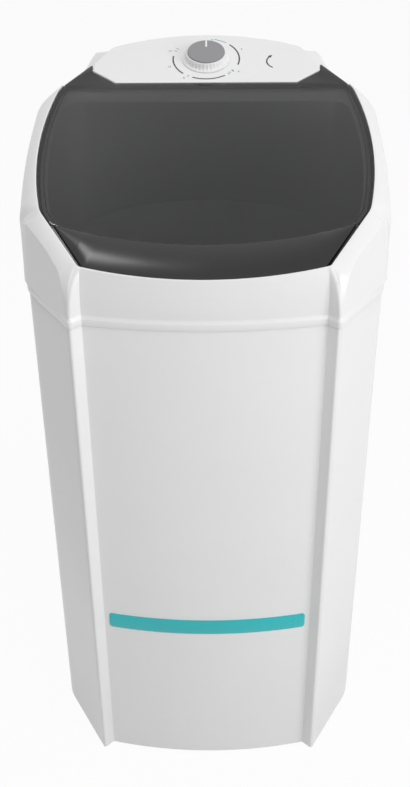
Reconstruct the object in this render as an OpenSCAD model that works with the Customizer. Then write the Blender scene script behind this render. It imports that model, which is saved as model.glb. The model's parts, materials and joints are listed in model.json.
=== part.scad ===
// Semi-automatic washing machine, millimetres.
// Origin on the floor under the middle of the machine, front towards -Y, +Z up.

/* [Cabinet] */
// Width of the cabinet at its widest, half way back
cab_w = 508; // [490:1:520]
// Depth of the cabinet on its centre line, front panel to rear panel
cab_d = 520; // [505:1:535]
// Height of the panels' top edge
cab_top = 806; // [780:1:830]
// Height of the panels' bottom edge
cab_bottom = 3; // [1:0.5:6]
// Wall of the cabinet panels
wall = 3; // [2.5:0.1:3.5]
// Radius of the front and rear panels in plan
front_r = 685; // [600:5:900]
// Distance of the front panel's edge inside the cabinet's side
corner_in = 93; // [88:1:99]
// How far a post's ridge stands outside the panel's edge
post_out = 14.5; // [12:0.5:17]
// How far a post's ridge stands forward of the panel's edge
post_fwd = 14; // [11:0.5:16]
// Rounding of a post's ridge
ridge_r = 3.5; // [2:0.5:5]
// Direction of the slanted side walls, from the X axis
flat_angle = 59.8; // [57:0.2:62]
// Rounding between a slanted wall and the side wall
corner_r = 80; // [60:5:100]
// Outward bulge of the side wall
side_bulge = 2.5; // [0:0.5:4]
// Overlap of a panel's flange behind the next panel
flange_steps = 1; // [1:1:2]
// Gap between pieces that lie against each other
fit = 0.3; // [0.2:0.05:0.4]

/* [Base] */
// Height of the rubber feet
foot_h = 8; // [6:0.5:10]
// Radius of the rubber feet
foot_r = 18; // [14:1:20]
// Distance of the feet inside the cabinet's sides
foot_in_x = 84; // [74:1:100]
// Distance of the feet inside the cabinet's front and rear
foot_in_y = 75; // [70:1:95]
// Thickness of the base tray
tray_t = 3; // [2.5:0.5:4]
// Height of the base tray's rim
tray_rim = 40; // [35:1:60]

/* [Stripe] */
// Height of the coloured stripe's lower edge
stripe_z = 270; // [200:5:400]
// Width of the coloured stripe
stripe_h = 27.5; // [20:0.5:35]
// Half length of the coloured stripe
stripe_half = 153; // [130:1:154]
// Thickness of the coloured stripe
stripe_t = 0.8; // [0.5:0.1:1]

/* [Top] */
// Slope of the lid, from level
lid_tilt = 21.1; // [19:0.1:23]
// Height of the lid's top face at its front edge
lid_front_z = 865; // [858:1:872]
// Distance of the lid's front edge behind the front panel
lid_setback = 6; // [5:0.5:8]
// Radius of the lid's front edge in plan
lid_front_r = 560; // [500:10:650]
// Distance of the lid's shoulders inside the cabinet's sides
lid_shoulder_in = 32; // [29:1:36]
// Distance of the front shoulders behind the cabinet's front
lid_shoulder_front = 130; // [125:1:135]
// Distance of the rear shoulders in front of the cabinet's rear
lid_shoulder_rear = 123; // [120:1:128]
// Distance of the lid's widest point inside the cabinet's side
lid_in = 15.5; // [14:0.5:18]
// Distance of the lid's straight rear edge in front of the cabinet's rear
lid_rear_in = 112.5; // [108:0.5:117]
// Distance of that edge's ends inside the cabinet's sides
lid_rear_side_in = 113; // [108:1:118]
// Thickness of the lid plate
lid_t = 3.5; // [3:0.1:4]
// Depth of the lid's rim
lid_rim = 8.7; // [8:0.1:9.5]
// Gap round the lid
lid_gap = 1.2; // [0.8:0.1:1.6]
// Width of the bright rim that stands round the lid
rim_w = 1.8; // [1.4:0.1:2.4]
// Depth of the dark front lip behind the cabinet's front
lip_d = 66; // [62:1:70]
// Greatest radius of the rear edge of the panel in plan
back_r = 400; // [380:5:430]
// Distance of the control panel's rear corners inside the cabinet's sides
back_in = 105; // [102:1:108]

/* [Collar] */
// How far the collar's skirt stands out from the cabinet
skirt_out = 2.6; // [2:0.1:3.5]
// How far the collar's shoulders swell out from the cabinet's sides
shoulder_out = 6.5; // [3:0.5:8]
// Overlap of the skirt over the cabinet
skirt_drop = 11; // [8:0.5:14]
// Height of the skirt's ledge above the panels' top edge
ledge_up = 2; // [1:0.5:4]
// Wall of the collar
collar_t = 3; // [2.5:0.1:3.5]
// Width of the ledge that carries the lid
seat_w = 14; // [12:0.5:16]
// Distance of the loading opening's rear edge in front of the lid's
mouth_rear_in = 30.5; // [26:0.5:36]

/* [Control panel] */
// Slope of the control panel's face
panel_tilt = 23.5; // [22.5:0.1:24.5]
// Depth of the collar's platform below the lid's top face
platform_drop = 5; // [4:0.5:6]
// Wall of the control panel
panel_wall = 2.5; // [2:0.1:3]
// Distance of the dial's centre in front of the cabinet's rear
dial_in = 56.4; // [53:0.2:62]
// Radius of the knob at its foot
knob_foot_r = 37.6; // [34:0.2:39]
// Radius of the knob's upper edge
knob_top_r = 30.8; // [29:0.2:33]
// Radius of the knob's grey cap
knob_cap_r = 29; // [26:0.5:30]
// Height of the knob above the panel
knob_h = 14; // [12:0.5:17]
// Number of grip ribs on the knob
knob_ribs = 36; // [24:2:48]
// Side of the square timer case
timer_side = 54; // [48:1:58]
// Depth of the timer case
timer_depth = 38; // [30:1:45]
// Radius of the timer's shaft
timer_shaft_r = 3; // [2.5:0.1:3.5]

/* [Hinge] */
// Distance of the hinge axis in front of the cabinet's rear
hinge_in = 74; // [72:0.5:76]
// Depth of the hinge axis below the lid's top face
hinge_drop = 5.2; // [5:0.1:5.6]
// Radius of the hinge pins
pin_r = 2.5; // [2:0.1:2.6]

/* [Tub] */
// Clearance between the tub's flange and the cabinet
tub_clear = 8; // [7:0.5:12]
// Width of the tub's fixing flange
tub_flange_w = 18; // [16:0.5:20]
// How much narrower the tub is near its floor than at its top
tub_taper = 9; // [6:0.5:14]
// Height of the tub floor's underside
tub_floor = 246; // [235:1:270]
// Wall of the wash tub
tub_wall = 3; // [2.5:0.1:3.5]

/* [Drive] */
// Radius of the agitator's shaft
shaft_r = 6; // [5:0.5:7]
// Running clearance of a shaft in its bearing
run = 0.05; // [0.02:0.01:0.08]
// Clearance of a piece that is pressed or bolted in place
seat = 0.02; // [0.01:0.01:0.05]
// Outside radius of the bearings
bearing_r = 14; // [12:0.5:16]
// Length of a bearing
bearing_h = 20; // [15:1:22]
// Outside radius of the bearing housing's tube
housing_r = 22; // [20:0.5:26]
// Length of the bearing housing's tube under the tub
housing_drop = 52; // [46:1:54]
// Radius of the agitator
agitator_r = 150; // [130:5:158]
// Number of fins on the agitator
agitator_fins = 6; // [4:1:8]
// Pitch radius of the large pulley
big_pulley_r = 95; // [80:1:105]
// Pitch radius of the motor pulley
small_pulley_r = 19; // [17:0.5:24]
// Distance of the motor's shaft behind the middle
motor_y = 150; // [140:1:165]
// Height of the belt's middle
belt_z = 172; // [168:1:176]
// Width of the belt
belt_w = 9.5; // [8:0.5:11]
// Depth of the belt
belt_d = 6; // [5:0.5:7]
// Radius of the motor case
motor_r = 56; // [48:1:60]
// Height of the motor's wound part
stator_h = 62; // [50:1:66]
// Radius of the motor's shaft
motor_shaft_r = 5; // [4:0.5:6]

/* [Drain] */
// Drain fitting's place across, from the middle
drain_x = 100; // [96:1:104]
// Drain fitting's place behind the middle
drain_y = 100; // [96:1:104]
// Outside radius of the drain spigots
spigot_r = 12; // [10:0.5:14]
// Wall of the drain spigots
spigot_t = 2; // [1.5:0.1:2.5]
// Height of the rear drain outlet
outlet_z = 90; // [80:1:110]
// Distance of the outlet's end behind the cabinet's rear
outlet_out = 2; // [0:0.5:2.5]
// Wall of the drain hose
hose_t = 2.5; // [2:0.1:3]

/* [Lint filter] */
// Width of the lint filter
filter_w = 92; // [80:1:100]
// Height of the lint filter's frame
filter_h = 170; // [150:5:190]
// Thickness of the lint filter
filter_t = 10; // [8:0.5:12]
// Height of the filter's lower edge
filter_z = 520; // [480:5:560]
// Distance of the filter inside the tub's rim
filter_in = 30; // [26:1:38]

/* [Fasteners] */
// Radius of the small screws' shanks
screw_r = 2; // [1.8:0.1:2.2]
// Radius of the small screws' heads
head_r = 3.8; // [3.2:0.1:4.2]
// Height of the small screws' heads
head_h = 2; // [1.5:0.1:2.5]

/* [Hidden] */

white = [0.93, 0.93, 0.93];
smoke = [0.22, 0.22, 0.23];
steel = [0.7, 0.71, 0.72];

// Places that follow the cabinet's width and depth
panel_half = cab_w/2 - corner_in;
foot_x = cab_w/2 - foot_in_x;
foot_y = cab_d/2 - foot_in_y;
lid_front_half = panel_half;
lid_side_x = cab_w/2 - lid_shoulder_in;
lid_side_front = cab_d/2 - lid_shoulder_front;
lid_side_rear = cab_d/2 - lid_shoulder_rear;
lid_half_w = cab_w/2 - lid_in;
lid_rear_y = cab_d/2 - lid_rear_in;
lid_rear_half = cab_w/2 - lid_rear_side_in;
lip_y = cab_d/2 - lip_d;
back_half = cab_w/2 - back_in;
mouth_rear = lid_rear_y - mouth_rear_in;
dial_y = cab_d/2 - dial_in;
hinge_y = cab_d/2 - hinge_in;
tub_flange_r = min(cab_w, cab_d)/2 - tub_clear;
tub_top_r = tub_flange_r - tub_flange_w;
tub_low_r = tub_top_r - tub_taper;
outlet_end_y = cab_d/2 + outlet_out;
filter_x = tub_top_r - filter_in;

// Points on each stretch of a quarter outline
n_arc = 8;
n_ridge = 4;
n_flat = 4;
n_corner = 4;
n_side = 5;
far = 2000;
eps = 0.01;

// Plan geometry: paths run counter-clockwise, seen from above

function dir(a) = [cos(a), sin(a)];
function outward(a) = [sin(a), -cos(a)];
function turn2(p, q) = p[0]*q[1] - p[1]*q[0];
function last(v) = v[len(v) - 1];
function mix(p, q, w) = p + (q - p)*w;

// Where the line from p along angle a meets the line from q along angle b
function meet(p, a, q, b) = p + dir(a)*turn2(q - p, dir(b))/turn2(dir(a), dir(b));

// Where the line from p along angle a meets a circle
function hit(p, a, c, r, side) =
  let (b = (p - c)*dir(a), q = (p - c)*(p - c) - r*r)
  p + dir(a)*(-b + side*sqrt(b*b - q));

// Rounding of a corner at p between directions a and b
function bend(p, a, b, r, n) =
  let (c = p - dir(a)*r*tan((b - a)/2) - outward(a)*r)
  [for (i = [0:n - 1]) c + outward(a + (b - a)*i/(n - 1))*r];

// Points strictly between p and q
function between(p, q, n) = [for (i = [1:n]) mix(p, q, i/(n + 1))];

function mirror_y(v) = [for (i = [len(v) - 2:-1:0]) [v[i][0], -v[i][1]]];
function whole(half) = concat(half, [for (i = [len(half) - 2:-1:1]) [-half[i][0], half[i][1]]]);

side_x = cab_w/2 - side_bulge;
front_c = [0, -cab_d/2 + front_r];
panel_edge = hit([panel_half, 0], -90, front_c, front_r, 1);
ridge = panel_edge + [post_out, -post_fwd];
post_angle = atan2(-post_fwd, post_out);

// A quarter of the cabinet's outline, d outside its outer face, from the front centre
function cab_quarter(d) =
  let (post = panel_edge + d*outward(post_angle),
       flat = ridge + d*outward(flat_angle),
       s = hit(post, post_angle, front_c, front_r + d, 1),
       top = bend(meet(post, post_angle, flat, flat_angle), post_angle, flat_angle,
                  max(ridge_r + d, 0.6), n_ridge),
       corner = bend(meet(flat, flat_angle, [side_x + d, 0], 90), flat_angle, 90,
                     corner_r + d, n_corner),
       a = asin(s[0]/(front_r + d)),
       y = last(corner)[1])
  concat([for (i = [0:n_arc - 1]) front_c + (front_r + d)*outward(a*i/n_arc)],
         [s], top, between(last(top), corner[0], n_flat), corner,
         [for (i = [1:n_side]) let (v = 1 - i/n_side)
           [side_x + d + side_bulge*(1 - v*v), y*v]]);
function cab_half(d) = let (q = cab_quarter(d)) concat(q, mirror_y(q));
function cab(d) = whole(cab_half(d));

// The ridge's last point, and the number of points on half an outline
i_ridge = n_arc + n_ridge;
i_half = 2*(n_arc + 1 + n_ridge + n_flat + n_corner + n_side) - 2;

// Height of the lid's top face at depth y
lid_front_y = -cab_d/2 + lid_setback;
function top_z(y) = lid_front_z + tan(lid_tilt)*(y - lid_front_y);

// The lid's outline, continued round the control panel, d outside the lid's edge
lid_front_c = [0, lid_front_y + lid_front_r];
lid_corner = hit([lid_front_half, 0], -90, lid_front_c, lid_front_r, 1);
lid_shoulder = [lid_side_x, -lid_side_front];
lid_rear_shoulder = [lid_side_x, lid_side_rear];
lid_mid_y = (lid_side_rear - lid_side_front)/2;
lid_side_half = (lid_side_rear + lid_side_front)/2;
lid_side_sag = lid_half_w - lid_side_x;
lid_side_r = (lid_side_half*lid_side_half + lid_side_sag*lid_side_sag)/(2*lid_side_sag);
lid_side_c = [lid_half_w - lid_side_r, lid_mid_y];
back_y = cab_d/2 + skirt_out;
back_c = [0, back_y - back_r];
back_corner = hit([back_half, 0], 90, back_c, back_r, 1);
chamfer_angle = atan2(lid_shoulder[1] - lid_corner[1], lid_shoulder[0] - lid_corner[0]);
rear_angle = atan2(back_corner[1] - lid_rear_shoulder[1], back_corner[0] - lid_rear_shoulder[0]);
lid_corner_r = 7;
lid_shoulder_r = 60;
back_corner_r = 36;

function tangent(p, c) = atan2(p[1] - c[1], p[0] - c[0]) + 90;
function side_arc(d, a, b, n) = [for (i = [1:n]) lid_side_c + (lid_side_r + d)*dir(a + (b - a)*i/n)];

function top_front(d) =
  let (line = lid_corner + d*outward(chamfer_angle),
       c1 = hit(line, chamfer_angle, lid_front_c, lid_front_r + d, -1),
       c2 = hit(line, chamfer_angle, lid_side_c, lid_side_r + d, 1),
       b1 = bend(c1, tangent(c1, lid_front_c), chamfer_angle, max(lid_corner_r + d, 1), n_ridge + 1),
       b2 = bend(c2, chamfer_angle, tangent(c2, lid_side_c), lid_shoulder_r + d, n_corner),
       a = asin(b1[0][0]/(lid_front_r + d)),
       e = last(b2) - lid_side_c)
  concat([for (i = [0:n_arc - 1]) lid_front_c + (lid_front_r + d)*outward(a*i/n_arc)],
         b1, between(last(b1), b2[0], n_flat), b2,
         side_arc(d, atan2(e[1], e[0]), 0, n_side));

// Rear tip of the lid's hinge ear, and the stretch of slanted edge it ends on
ear_y = hinge_y + 6;
ear_tip = meet(lid_rear_shoulder, rear_angle, [0, ear_y], 0);
ear_tip_w = 2.5;
ear_in = ear_tip[0] - ear_tip_w;
ear_sweep_r = 9.5;

function top_rear(d) =
  let (line = lid_rear_shoulder + d*outward(rear_angle),
       c2 = hit(line, rear_angle + 180, lid_side_c, lid_side_r + d, 1),
       c1 = hit(line, rear_angle, back_c, back_r + d, 1),
       b2 = bend(c2, tangent(c2, lid_side_c), rear_angle, lid_shoulder_r + d, n_corner),
       b1 = bend(c1, rear_angle, tangent(c1, back_c), max(back_corner_r + d, 1), n_ridge),
       e = b2[0] - lid_side_c,
       split = ear_tip + d*outward(rear_angle),
       a = atan2(last(b1)[1] - back_c[1], last(b1)[0] - back_c[0]))
  concat([for (i = [1:n_side - 1]) lid_side_c + (lid_side_r + d)*dir(atan2(e[1], e[0])*i/n_side)],
         b2, between(last(b2), split, n_flat),
         [mix(split, b1[0], 0.25)], b1,
         [for (i = [1:n_arc]) back_c + (back_r + d)*dir(a + (90 - a)*i/n_arc)]);
function top(d) = whole(concat(top_front(d), top_rear(d)));

// Front boundary of the control panel's platform: from the ear in to the rear edge of the lid
seat_y = lid_rear_y + 1.2;
platform_end = [ear_in - 1, hinge_y + 1];
platform_notch = [lid_rear_half - 2, seat_y];
i_rear_flat = len(top_front(0)) + n_side - 1 + n_corner;
function lid_hole(d) =
  let (f = concat(top_front(d), top_rear(d)))
  whole(concat([for (i = [0:i_rear_flat + n_flat - 1]) f[i]],
               [for (i = [0:n_ridge]) mix(platform_end, platform_notch, i/n_ridge)],
               [for (i = [1:n_arc]) [platform_notch[0]*(1 - i/n_arc), seat_y]]));

// The loading opening
mouth_corner_r = 24;
function mouth_half(d) =
  let (f = top_front(d - seat_w),
       y = mouth_rear + d,
       c = hit([lid_side_x, y], 0, lid_side_c, lid_side_r + d - seat_w, 1),
       b = bend(c, tangent(c, lid_side_c), 180, mouth_corner_r, n_corner),
       e = b[0] - lid_side_c,
       n = n_flat + n_ridge + 1 + n_arc)
  concat(f, [for (i = [1:n_side - 1]) lid_side_c
                + (lid_side_r + d - seat_w)*dir(atan2(e[1], e[0])*i/n_side)],
         b, [for (i = [1:n]) [last(b)[0]*(1 - i/n), y]]);
function mouth(d) = whole(mouth_half(d));

function level(v, z) = [for (p = v) [p[0], p[1], z]];
function on_slope(v, drops) = [for (i = [0:len(v) - 1]) [v[i][0], v[i][1], top_z(v[i][1]) - drops[i]]];
function round_ring(v, r, z) = [for (p = v) [r*p[0]/norm(p), r*p[1]/norm(p), z]];
function times(n, a) = [for (i = [1:n]) a];
function mix_rings(v, w, k) = [for (i = [0:len(v) - 1]) mix(v[i], w[i], k[i])];

// A value for each point of the whole outline, from its values on each stretch of half of it
function per_point(front_arc, post, flat, corner, side, rear_corner, rear_flat, rear_post, rear_arc) =
  let (h = concat(times(n_arc, front_arc), times(n_ridge + 1, post), times(n_flat, flat),
                  times(n_corner, corner), times(2*n_side - 1, side), times(n_corner, rear_corner),
                  times(n_flat, rear_flat), times(n_ridge + 1, rear_post), times(n_arc, rear_arc)))
  concat(h, [for (i = [len(h) - 2:-1:1]) h[i]]);

// Closed skin through rings of points; the last ring joins the first
module ring_skin(rings) {
  n = len(rings[0]);
  m = len(rings);
  polyhedron(
    points = [for (r = rings) for (p = r) p],
    faces = [for (j = [0:m - 1]) for (i = [0:n - 1]) for (k = [0, 1])
      let (a = j*n + i, b = j*n + (i + 1)%n, c = ((j + 1)%m)*n + (i + 1)%n, d = ((j + 1)%m)*n + i)
      k == 0 ? [a, c, b] : [a, d, c]],
    convexity = 8);
}

// Strip of wall between two outlines, from point i to point j
function strip(outer, inner, i, j) =
  concat([for (k = [i:j]) outer[wrap(k)]], [for (k = [j:-1:i]) inner[wrap(k)]]);
n_ring = 2*i_half;
function wrap(k) = (k + n_ring)%n_ring;

// Frames on the machine
module on_lid_plane() {
  translate([0, lid_front_y, lid_front_z]) rotate([lid_tilt, 0, 0]) children();
}

face_y = lid_rear_y + 2;
face_z = top_z(face_y);
function panel_z(y) = face_z + tan(panel_tilt)*(y - face_y);
module on_dial() {
  translate([0, dial_y, panel_z(dial_y)]) rotate([panel_tilt, 0, 0]) children();
}
hinge_z = top_z(hinge_y) - hinge_drop;
module on_hinge(x) {
  translate([x, hinge_y, hinge_z]) rotate([0, 90, 0]) children();
}
module both_sides() {
  children();
  mirror([1, 0, 0]) children();
}
module four_corners() {
  both_sides() {
    children();
    mirror([0, 1, 0]) children();
  }
}

// Cabinet panels

flange_gap = 0.2;
// Front or rear panel: its wall from ridge to ridge, with a flange behind each side panel
function panel_loop() =
  let (o = cab(0), a = cab(-wall), b = cab(-wall - flange_gap), c = cab(-2*wall - flange_gap),
       j = i_ridge, e = i_ridge + flange_steps,
       foot = o[j] - (wall + flange_gap)*outward(flat_angle),
       right = concat([for (k = [0:j]) o[k]], [foot], [for (k = [j + 1:e]) b[k]],
                      [for (k = [e:-1:j]) c[k]], [for (k = [j - 1:-1:0]) a[k]]),
       n = len(right))
  concat(right, [for (k = [n - 2:-1:1]) [-right[k][0], right[k][1]]]);

base_screw_z = foot_h + tray_t + 14;
base_screw_at = 2;
module base_screw_places() {
  p = cab(0)[i_ridge + base_screw_at];
  q = cab(0)[i_ridge + base_screw_at - 1];
  four_corners()
    translate([(p[0] + q[0])/2, (p[1] + q[1])/2, base_screw_z])
      rotate([90, 0, flat_angle]) children();
}

module panel(points) {
  translate([0, 0, cab_bottom]) linear_extrude(cab_top - cab_bottom) polygon(points);
}

module screw_hole(depth) {
  translate([0, 0, -depth]) cylinder(r = screw_r + seat, h = depth + eps, $fn = 32);
}

joint_gap = 0.6;
module front_panel() {
  color(white) difference() {
    panel(panel_loop());
    base_screw_places() translate([0, 0, -wall]) screw_hole(far/20);
  }
}

module side_panel() {
  color(white) difference() {
    panel(strip(cab(0), cab(-wall), i_ridge, i_half - i_ridge));
    // The joint's shadow gap beside each ridge
    for (s = [-1, 1])
      translate([cab(0)[i_ridge][0], s*cab(0)[i_ridge][1], 0])
        rotate([0, 0, -s*flat_angle])
          translate([-joint_gap, -wall*3, 0]) cube([2*joint_gap, wall*6, cab_top + 1]);
    base_screw_places() translate([0, 0, -wall/3]) screw_hole(far/20);
  }
}
module right_side_panel() { side_panel(); }
module left_side_panel() { mirror([1, 0, 0]) side_panel(); }

gland_x = -100;
gland_z = 110;
gland_r = 7;
rear_cover_z = 150;
rear_cover_h = 230;
rear_cover_half = 110;
rear_cover_t = 1.5;
module on_rear(x, z) {
  a = asin(x/front_r);
  translate([x, cab_d/2 - front_r + front_r*cos(a), z]) rotate([-90, 0, -a]) children();
}
module cover_screw_places() {
  for (s = [-1, 1]) for (z = [14, rear_cover_h/2, rear_cover_h - 14])
    on_rear(s*(rear_cover_half - 9), rear_cover_z + z) children();
}
module collar_screw_places() {
  for (x = [-117, -63, 63, 117])
    on_rear(x, cab_top - skirt_drop/2) children();
}

module rear_panel() {
  color(white) difference() {
    mirror([0, 1, 0]) panel(panel_loop());
    base_screw_places() translate([0, 0, -wall]) screw_hole(far/20);
    // Service window behind the rear cover
    translate([-rear_cover_half + 20, 0, rear_cover_z + 25])
      cube([2*rear_cover_half - 40, far/4, rear_cover_h - 50]);
    cover_screw_places() screw_hole(12);
    collar_screw_places() screw_hole(12);
    on_rear(gland_x, gland_z) cylinder(r = gland_r + seat, h = 40, center = true, $fn = 48);
    translate([drain_x, 0, outlet_z]) rotate([-90, 0, 0])
      cylinder(r = spigot_r + seat, h = far/4, $fn = 64);
  }
}

module rounded_plate(w, h, r, t) {
  for (x = [r, w - r]) for (z = [r, h - r])
    translate([x, 0, z]) rotate([-90, 0, 0]) cylinder(r = r, h = t, $fn = 48);
  translate([r, 0, 0]) cube([w - 2*r, t, h]);
  translate([0, 0, r]) cube([w, t, h - 2*r]);
}

module rear_cover() {
  color(white) difference() {
    intersection() {
      mirror([0, 1, 0]) linear_extrude(cab_top)
        polygon(strip(cab(rear_cover_t + 0.1), cab(0.1), -n_arc, n_arc));
      translate([-rear_cover_half, 0, rear_cover_z])
        rounded_plate(2*rear_cover_half, rear_cover_h, 12, far/4);
    }
    cover_screw_places() translate([0, 0, 10]) screw_hole(30);
    // Cooling slots
    for (i = [0:8]) translate([-60, 0, rear_cover_z + 60 + i*14])
      rounded_plate(120, 5, 2.4, far/4);
  }
}

module screw(length) {
  cylinder(r = head_r, h = head_h, $fn = 32);
  translate([0, 0, -length]) cylinder(r = screw_r, h = length + eps, $fn = 32);
}

module rear_cover_screws() {
  color(steel) cover_screw_places() translate([0, 0, rear_cover_t + fit]) screw(9);
}

// Base

module base_tray() {
  color([0.75, 0.75, 0.76]) difference() {
    translate([0, 0, foot_h]) {
      difference() {
        linear_extrude(tray_rim) polygon(cab(-2*wall - 2*flange_gap - fit));
        translate([0, 0, tray_t]) linear_extrude(tray_rim)
          polygon(cab(-2*wall - 2*flange_gap - fit - tray_t));
      }
    }
    four_corners() translate([foot_x, foot_y, 0])
      cylinder(r = 5 + seat, h = 40, $fn = 32);
    base_screw_places() translate([0, 0, -wall]) screw_hole(far/20);
    // Air and drain openings in the floor
    for (x = [-90, 90]) translate([x - 40, -110, 0]) cube([80, 60, 30]);
    bracket_screw_places() cylinder(r = screw_r + seat, h = 20, center = true, $fn = 32);
    translate([capacitor_x, capacitor_y + 27, foot_h + tray_t])
      cylinder(r = screw_r + seat, h = 20, center = true, $fn = 32);
  }
}

module feet() {
  color([0.2, 0.2, 0.2]) four_corners() translate([foot_x, foot_y, 0]) {
    cylinder(r = foot_r, h = foot_h, $fn = 64);
    cylinder(r = 5, h = foot_h + tray_t, $fn = 32);
  }
}

base_screw_l = 2*wall + 2*flange_gap + fit + tray_t;
module base_screws() {
  color(steel) base_screw_places()
    translate([0, 0, -base_screw_l]) mirror([0, 0, 1]) screw(base_screw_l - wall/2);
}

module front_stripe() {
  color([0.08, 0.66, 0.72]) intersection() {
    linear_extrude(cab_top) polygon(strip(cab(stripe_t + 0.05), cab(0.05), -n_arc, n_arc));
    mirror([0, 1, 0]) translate([-stripe_half, 0, stripe_z])
      rounded_plate(2*stripe_half, stripe_h, 5, far/4);
  }
}

// Top collar

crease_drop = per_point(24, 34, 16, 17, 16, 16, 14, 20, 24);
shoulder_drop = per_point(6, 14, 5, 5, 5, 6, 13, 10, 8);
shoulder_mix = per_point(0.35, 0.3, 0.5, 0.5, 0.5, 0.5, 0.5, 0.4, 0.4);
seat_drop = (lid_rim + fit)/cos(lid_tilt);
edge_lift = -0.4;
rim_drop = per_point(edge_lift, edge_lift, edge_lift, edge_lift, edge_lift, edge_lift,
                     seat_drop, platform_drop, platform_drop);
all_seat = per_point(seat_drop, seat_drop, seat_drop, seat_drop, seat_drop, seat_drop,
                     seat_drop, seat_drop, seat_drop);
floor_drop = all_seat + times(n_ring, collar_t);
inner_mix = per_point(0, 0.3, 1, 1, 1, 1, 0.8, 0.1, 0);
bulge = 0.8;

ledge_z = cab_top + ledge_up;
tub_seat_z = cab_top;

function rim_outer() = let (a = top(lid_gap + rim_w), b = top(0))
  mix_rings(a, b, per_point(0, 0, 0, 0, 0, 0, 0, 1, 1));
function lid_wall() = lid_hole(lid_gap);

// The collar's wall, d outside it: close to the cabinet at the posts, swelling towards the sides
function side_share(p) = min(1, max(0, (abs(p[0]) - ridge[0])/(side_x - ridge[0])));
function swell(d) = let (a = cab(bulge + d), b = cab(shoulder_out + d))
  [for (i = [0:n_ring - 1]) mix(a[i], b[i], side_share(a[i]))];

module collar_body() {
  crease = swell(0);
  inside = swell(-bulge - collar_t);
  ring_skin([
    level(cab(skirt_out), cab_top - skirt_drop),
    level(cab(skirt_out), ledge_z),
    level(swell(-0.6), ledge_z + 3),
    on_slope(crease, crease_drop),
    on_slope(mix_rings(crease, rim_outer(), shoulder_mix), shoulder_drop),
    on_slope(rim_outer(), rim_drop),
    on_slope(lid_wall(), rim_drop),
    on_slope(lid_wall(), all_seat + times(n_ring, eps)),
    on_slope(mouth(0), all_seat),
    round_ring(mouth(0), tub_top_r, tub_seat_z),
    round_ring(mouth(0), tub_flange_r, tub_seat_z),
    round_ring(mouth(0), tub_flange_r, tub_seat_z + collar_t),
    round_ring(mouth(0), tub_top_r + collar_t, tub_seat_z + collar_t),
    on_slope(mouth(collar_t), floor_drop),
    on_slope(mix_rings(inside, top(lid_gap + collar_t), inner_mix), floor_drop + times(n_ring, 1)),
    on_slope(inside, crease_drop + times(n_ring, 5)),
    level(cab(-collar_t - fit), cab_top + fit + 3),
    level(cab(-collar_t - fit), cab_top + fit),
    level(cab(fit), cab_top + fit),
    level(cab(fit), cab_top - skirt_drop)
  ]);
}

hinge_block = [15, 13, 8.4];
hinge_pocket = 0.3;
module hinge_block_shape(grow) {
  on_hinge(platform_end[0] - hinge_block[0] - 1 - grow)
    translate([-hinge_block[2]/2 + 0.6 - grow, -hinge_block[1]/2 - grow, 0])
      cube([hinge_block[2] + 2*grow, hinge_block[1] + 2*grow, hinge_block[0] + 2*grow]);
}

module top_collar() {
  color(white) difference() {
    collar_body();
    // Room for the timer behind the dial
    on_dial() cube([timer_side + 20, timer_side + 20, 90], center = true);
    both_sides() {
      // Slot that the lid's hinge ear swings in
      on_hinge(platform_end[0] - 0.8) cylinder(r = ear_sweep_r, h = 30, $fn = 48);
      hinge_block_shape(hinge_pocket);
    }
    collar_screw_places() cylinder(r = screw_r + seat, h = 12, center = true, $fn = 32);
    for (a = [1:8]) rotate([0, 0, a*45 - 22.5]) translate([tub_screw_ring, 0, 0])
      cylinder(r = screw_r + seat, h = tub_seat_z + collar_t + 1, $fn = 32);
  }
}

module collar_screws() {
  color(steel) collar_screw_places() translate([0, 0, skirt_out]) screw(skirt_out + wall + 1);
}

// Control panel: a hollow fascia on the collar's platform

panel_front_half = lid_rear_half - 1;
panel_tip = [ear_in - 1.5, hinge_y + 8];
panel_root = [ear_in - 1.5, hinge_y - 8];
function panel_edge_half() =
  let (b = [for (i = [n_side - 1 + n_corner + n_flat + 1:len(top_rear(0)) - 1]) top_rear(0)[i]])
  concat([[0, face_y], [panel_front_half, face_y], panel_root, panel_tip], b);
function panel_edge_loop() = whole(panel_edge_half());
function shrink(v, d) = [for (i = [0:len(v) - 1])
  let (n = len(v), p = v[(i + n - 1)%n], q = v[(i + 1)%n], t = atan2(q[1] - p[1], q[0] - p[0]),
       a = atan2(v[i][1] - p[1], v[i][0] - p[0]), c = cos(t - a))
  v[i] - outward(t)*d/max(c, 0.5)];

module panel_solid(loop, top_cut, bottom) {
  n = len(loop);
  roof = [for (p = loop) [p[0], p[1], panel_z(p[1]) - top_cut]];
  base = [for (p = loop) [p[0], p[1], top_z(p[1]) - platform_drop - bottom]];
  polyhedron(
    points = concat(roof, base, [[0, dial_y, panel_z(dial_y) - top_cut],
                                 [0, dial_y, top_z(dial_y) - platform_drop - bottom]]),
    faces = [for (i = [0:n - 1]) for (f = [
      [i, (i + 1)%n, (i + 1)%n + n], [i, (i + 1)%n + n, i + n],
      [2*n, (i + 1)%n, i], [2*n + 1, i + n, (i + 1)%n + n]]) f],
    convexity = 6);
}

module control_panel() {
  color(white) difference() {
    panel_solid(panel_edge_loop(), 0, 0);
    panel_solid(shrink(panel_edge_loop(), panel_wall), panel_wall, 5);
    on_dial() cylinder(r = timer_shaft_r + 1, h = 30, center = true, $fn = 48);
    timer_screw_places() cylinder(r = screw_r + seat, h = 30, center = true, $fn = 32);
    both_sides() {
      hinge_block_shape(hinge_pocket);
      on_hinge(platform_end[0] - hinge_block[0] - 1) cylinder(r = pin_r + fit, h = 30, $fn = 48);
    }
  }
}

module hinge_blocks() {
  color([0.8, 0.8, 0.8]) both_sides() difference() {
    hinge_block_shape(0);
    on_hinge(platform_end[0] - hinge_block[0] - 2) cylinder(r = pin_r + run, h = 30, $fn = 48);
  }
}

// Timer

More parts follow.
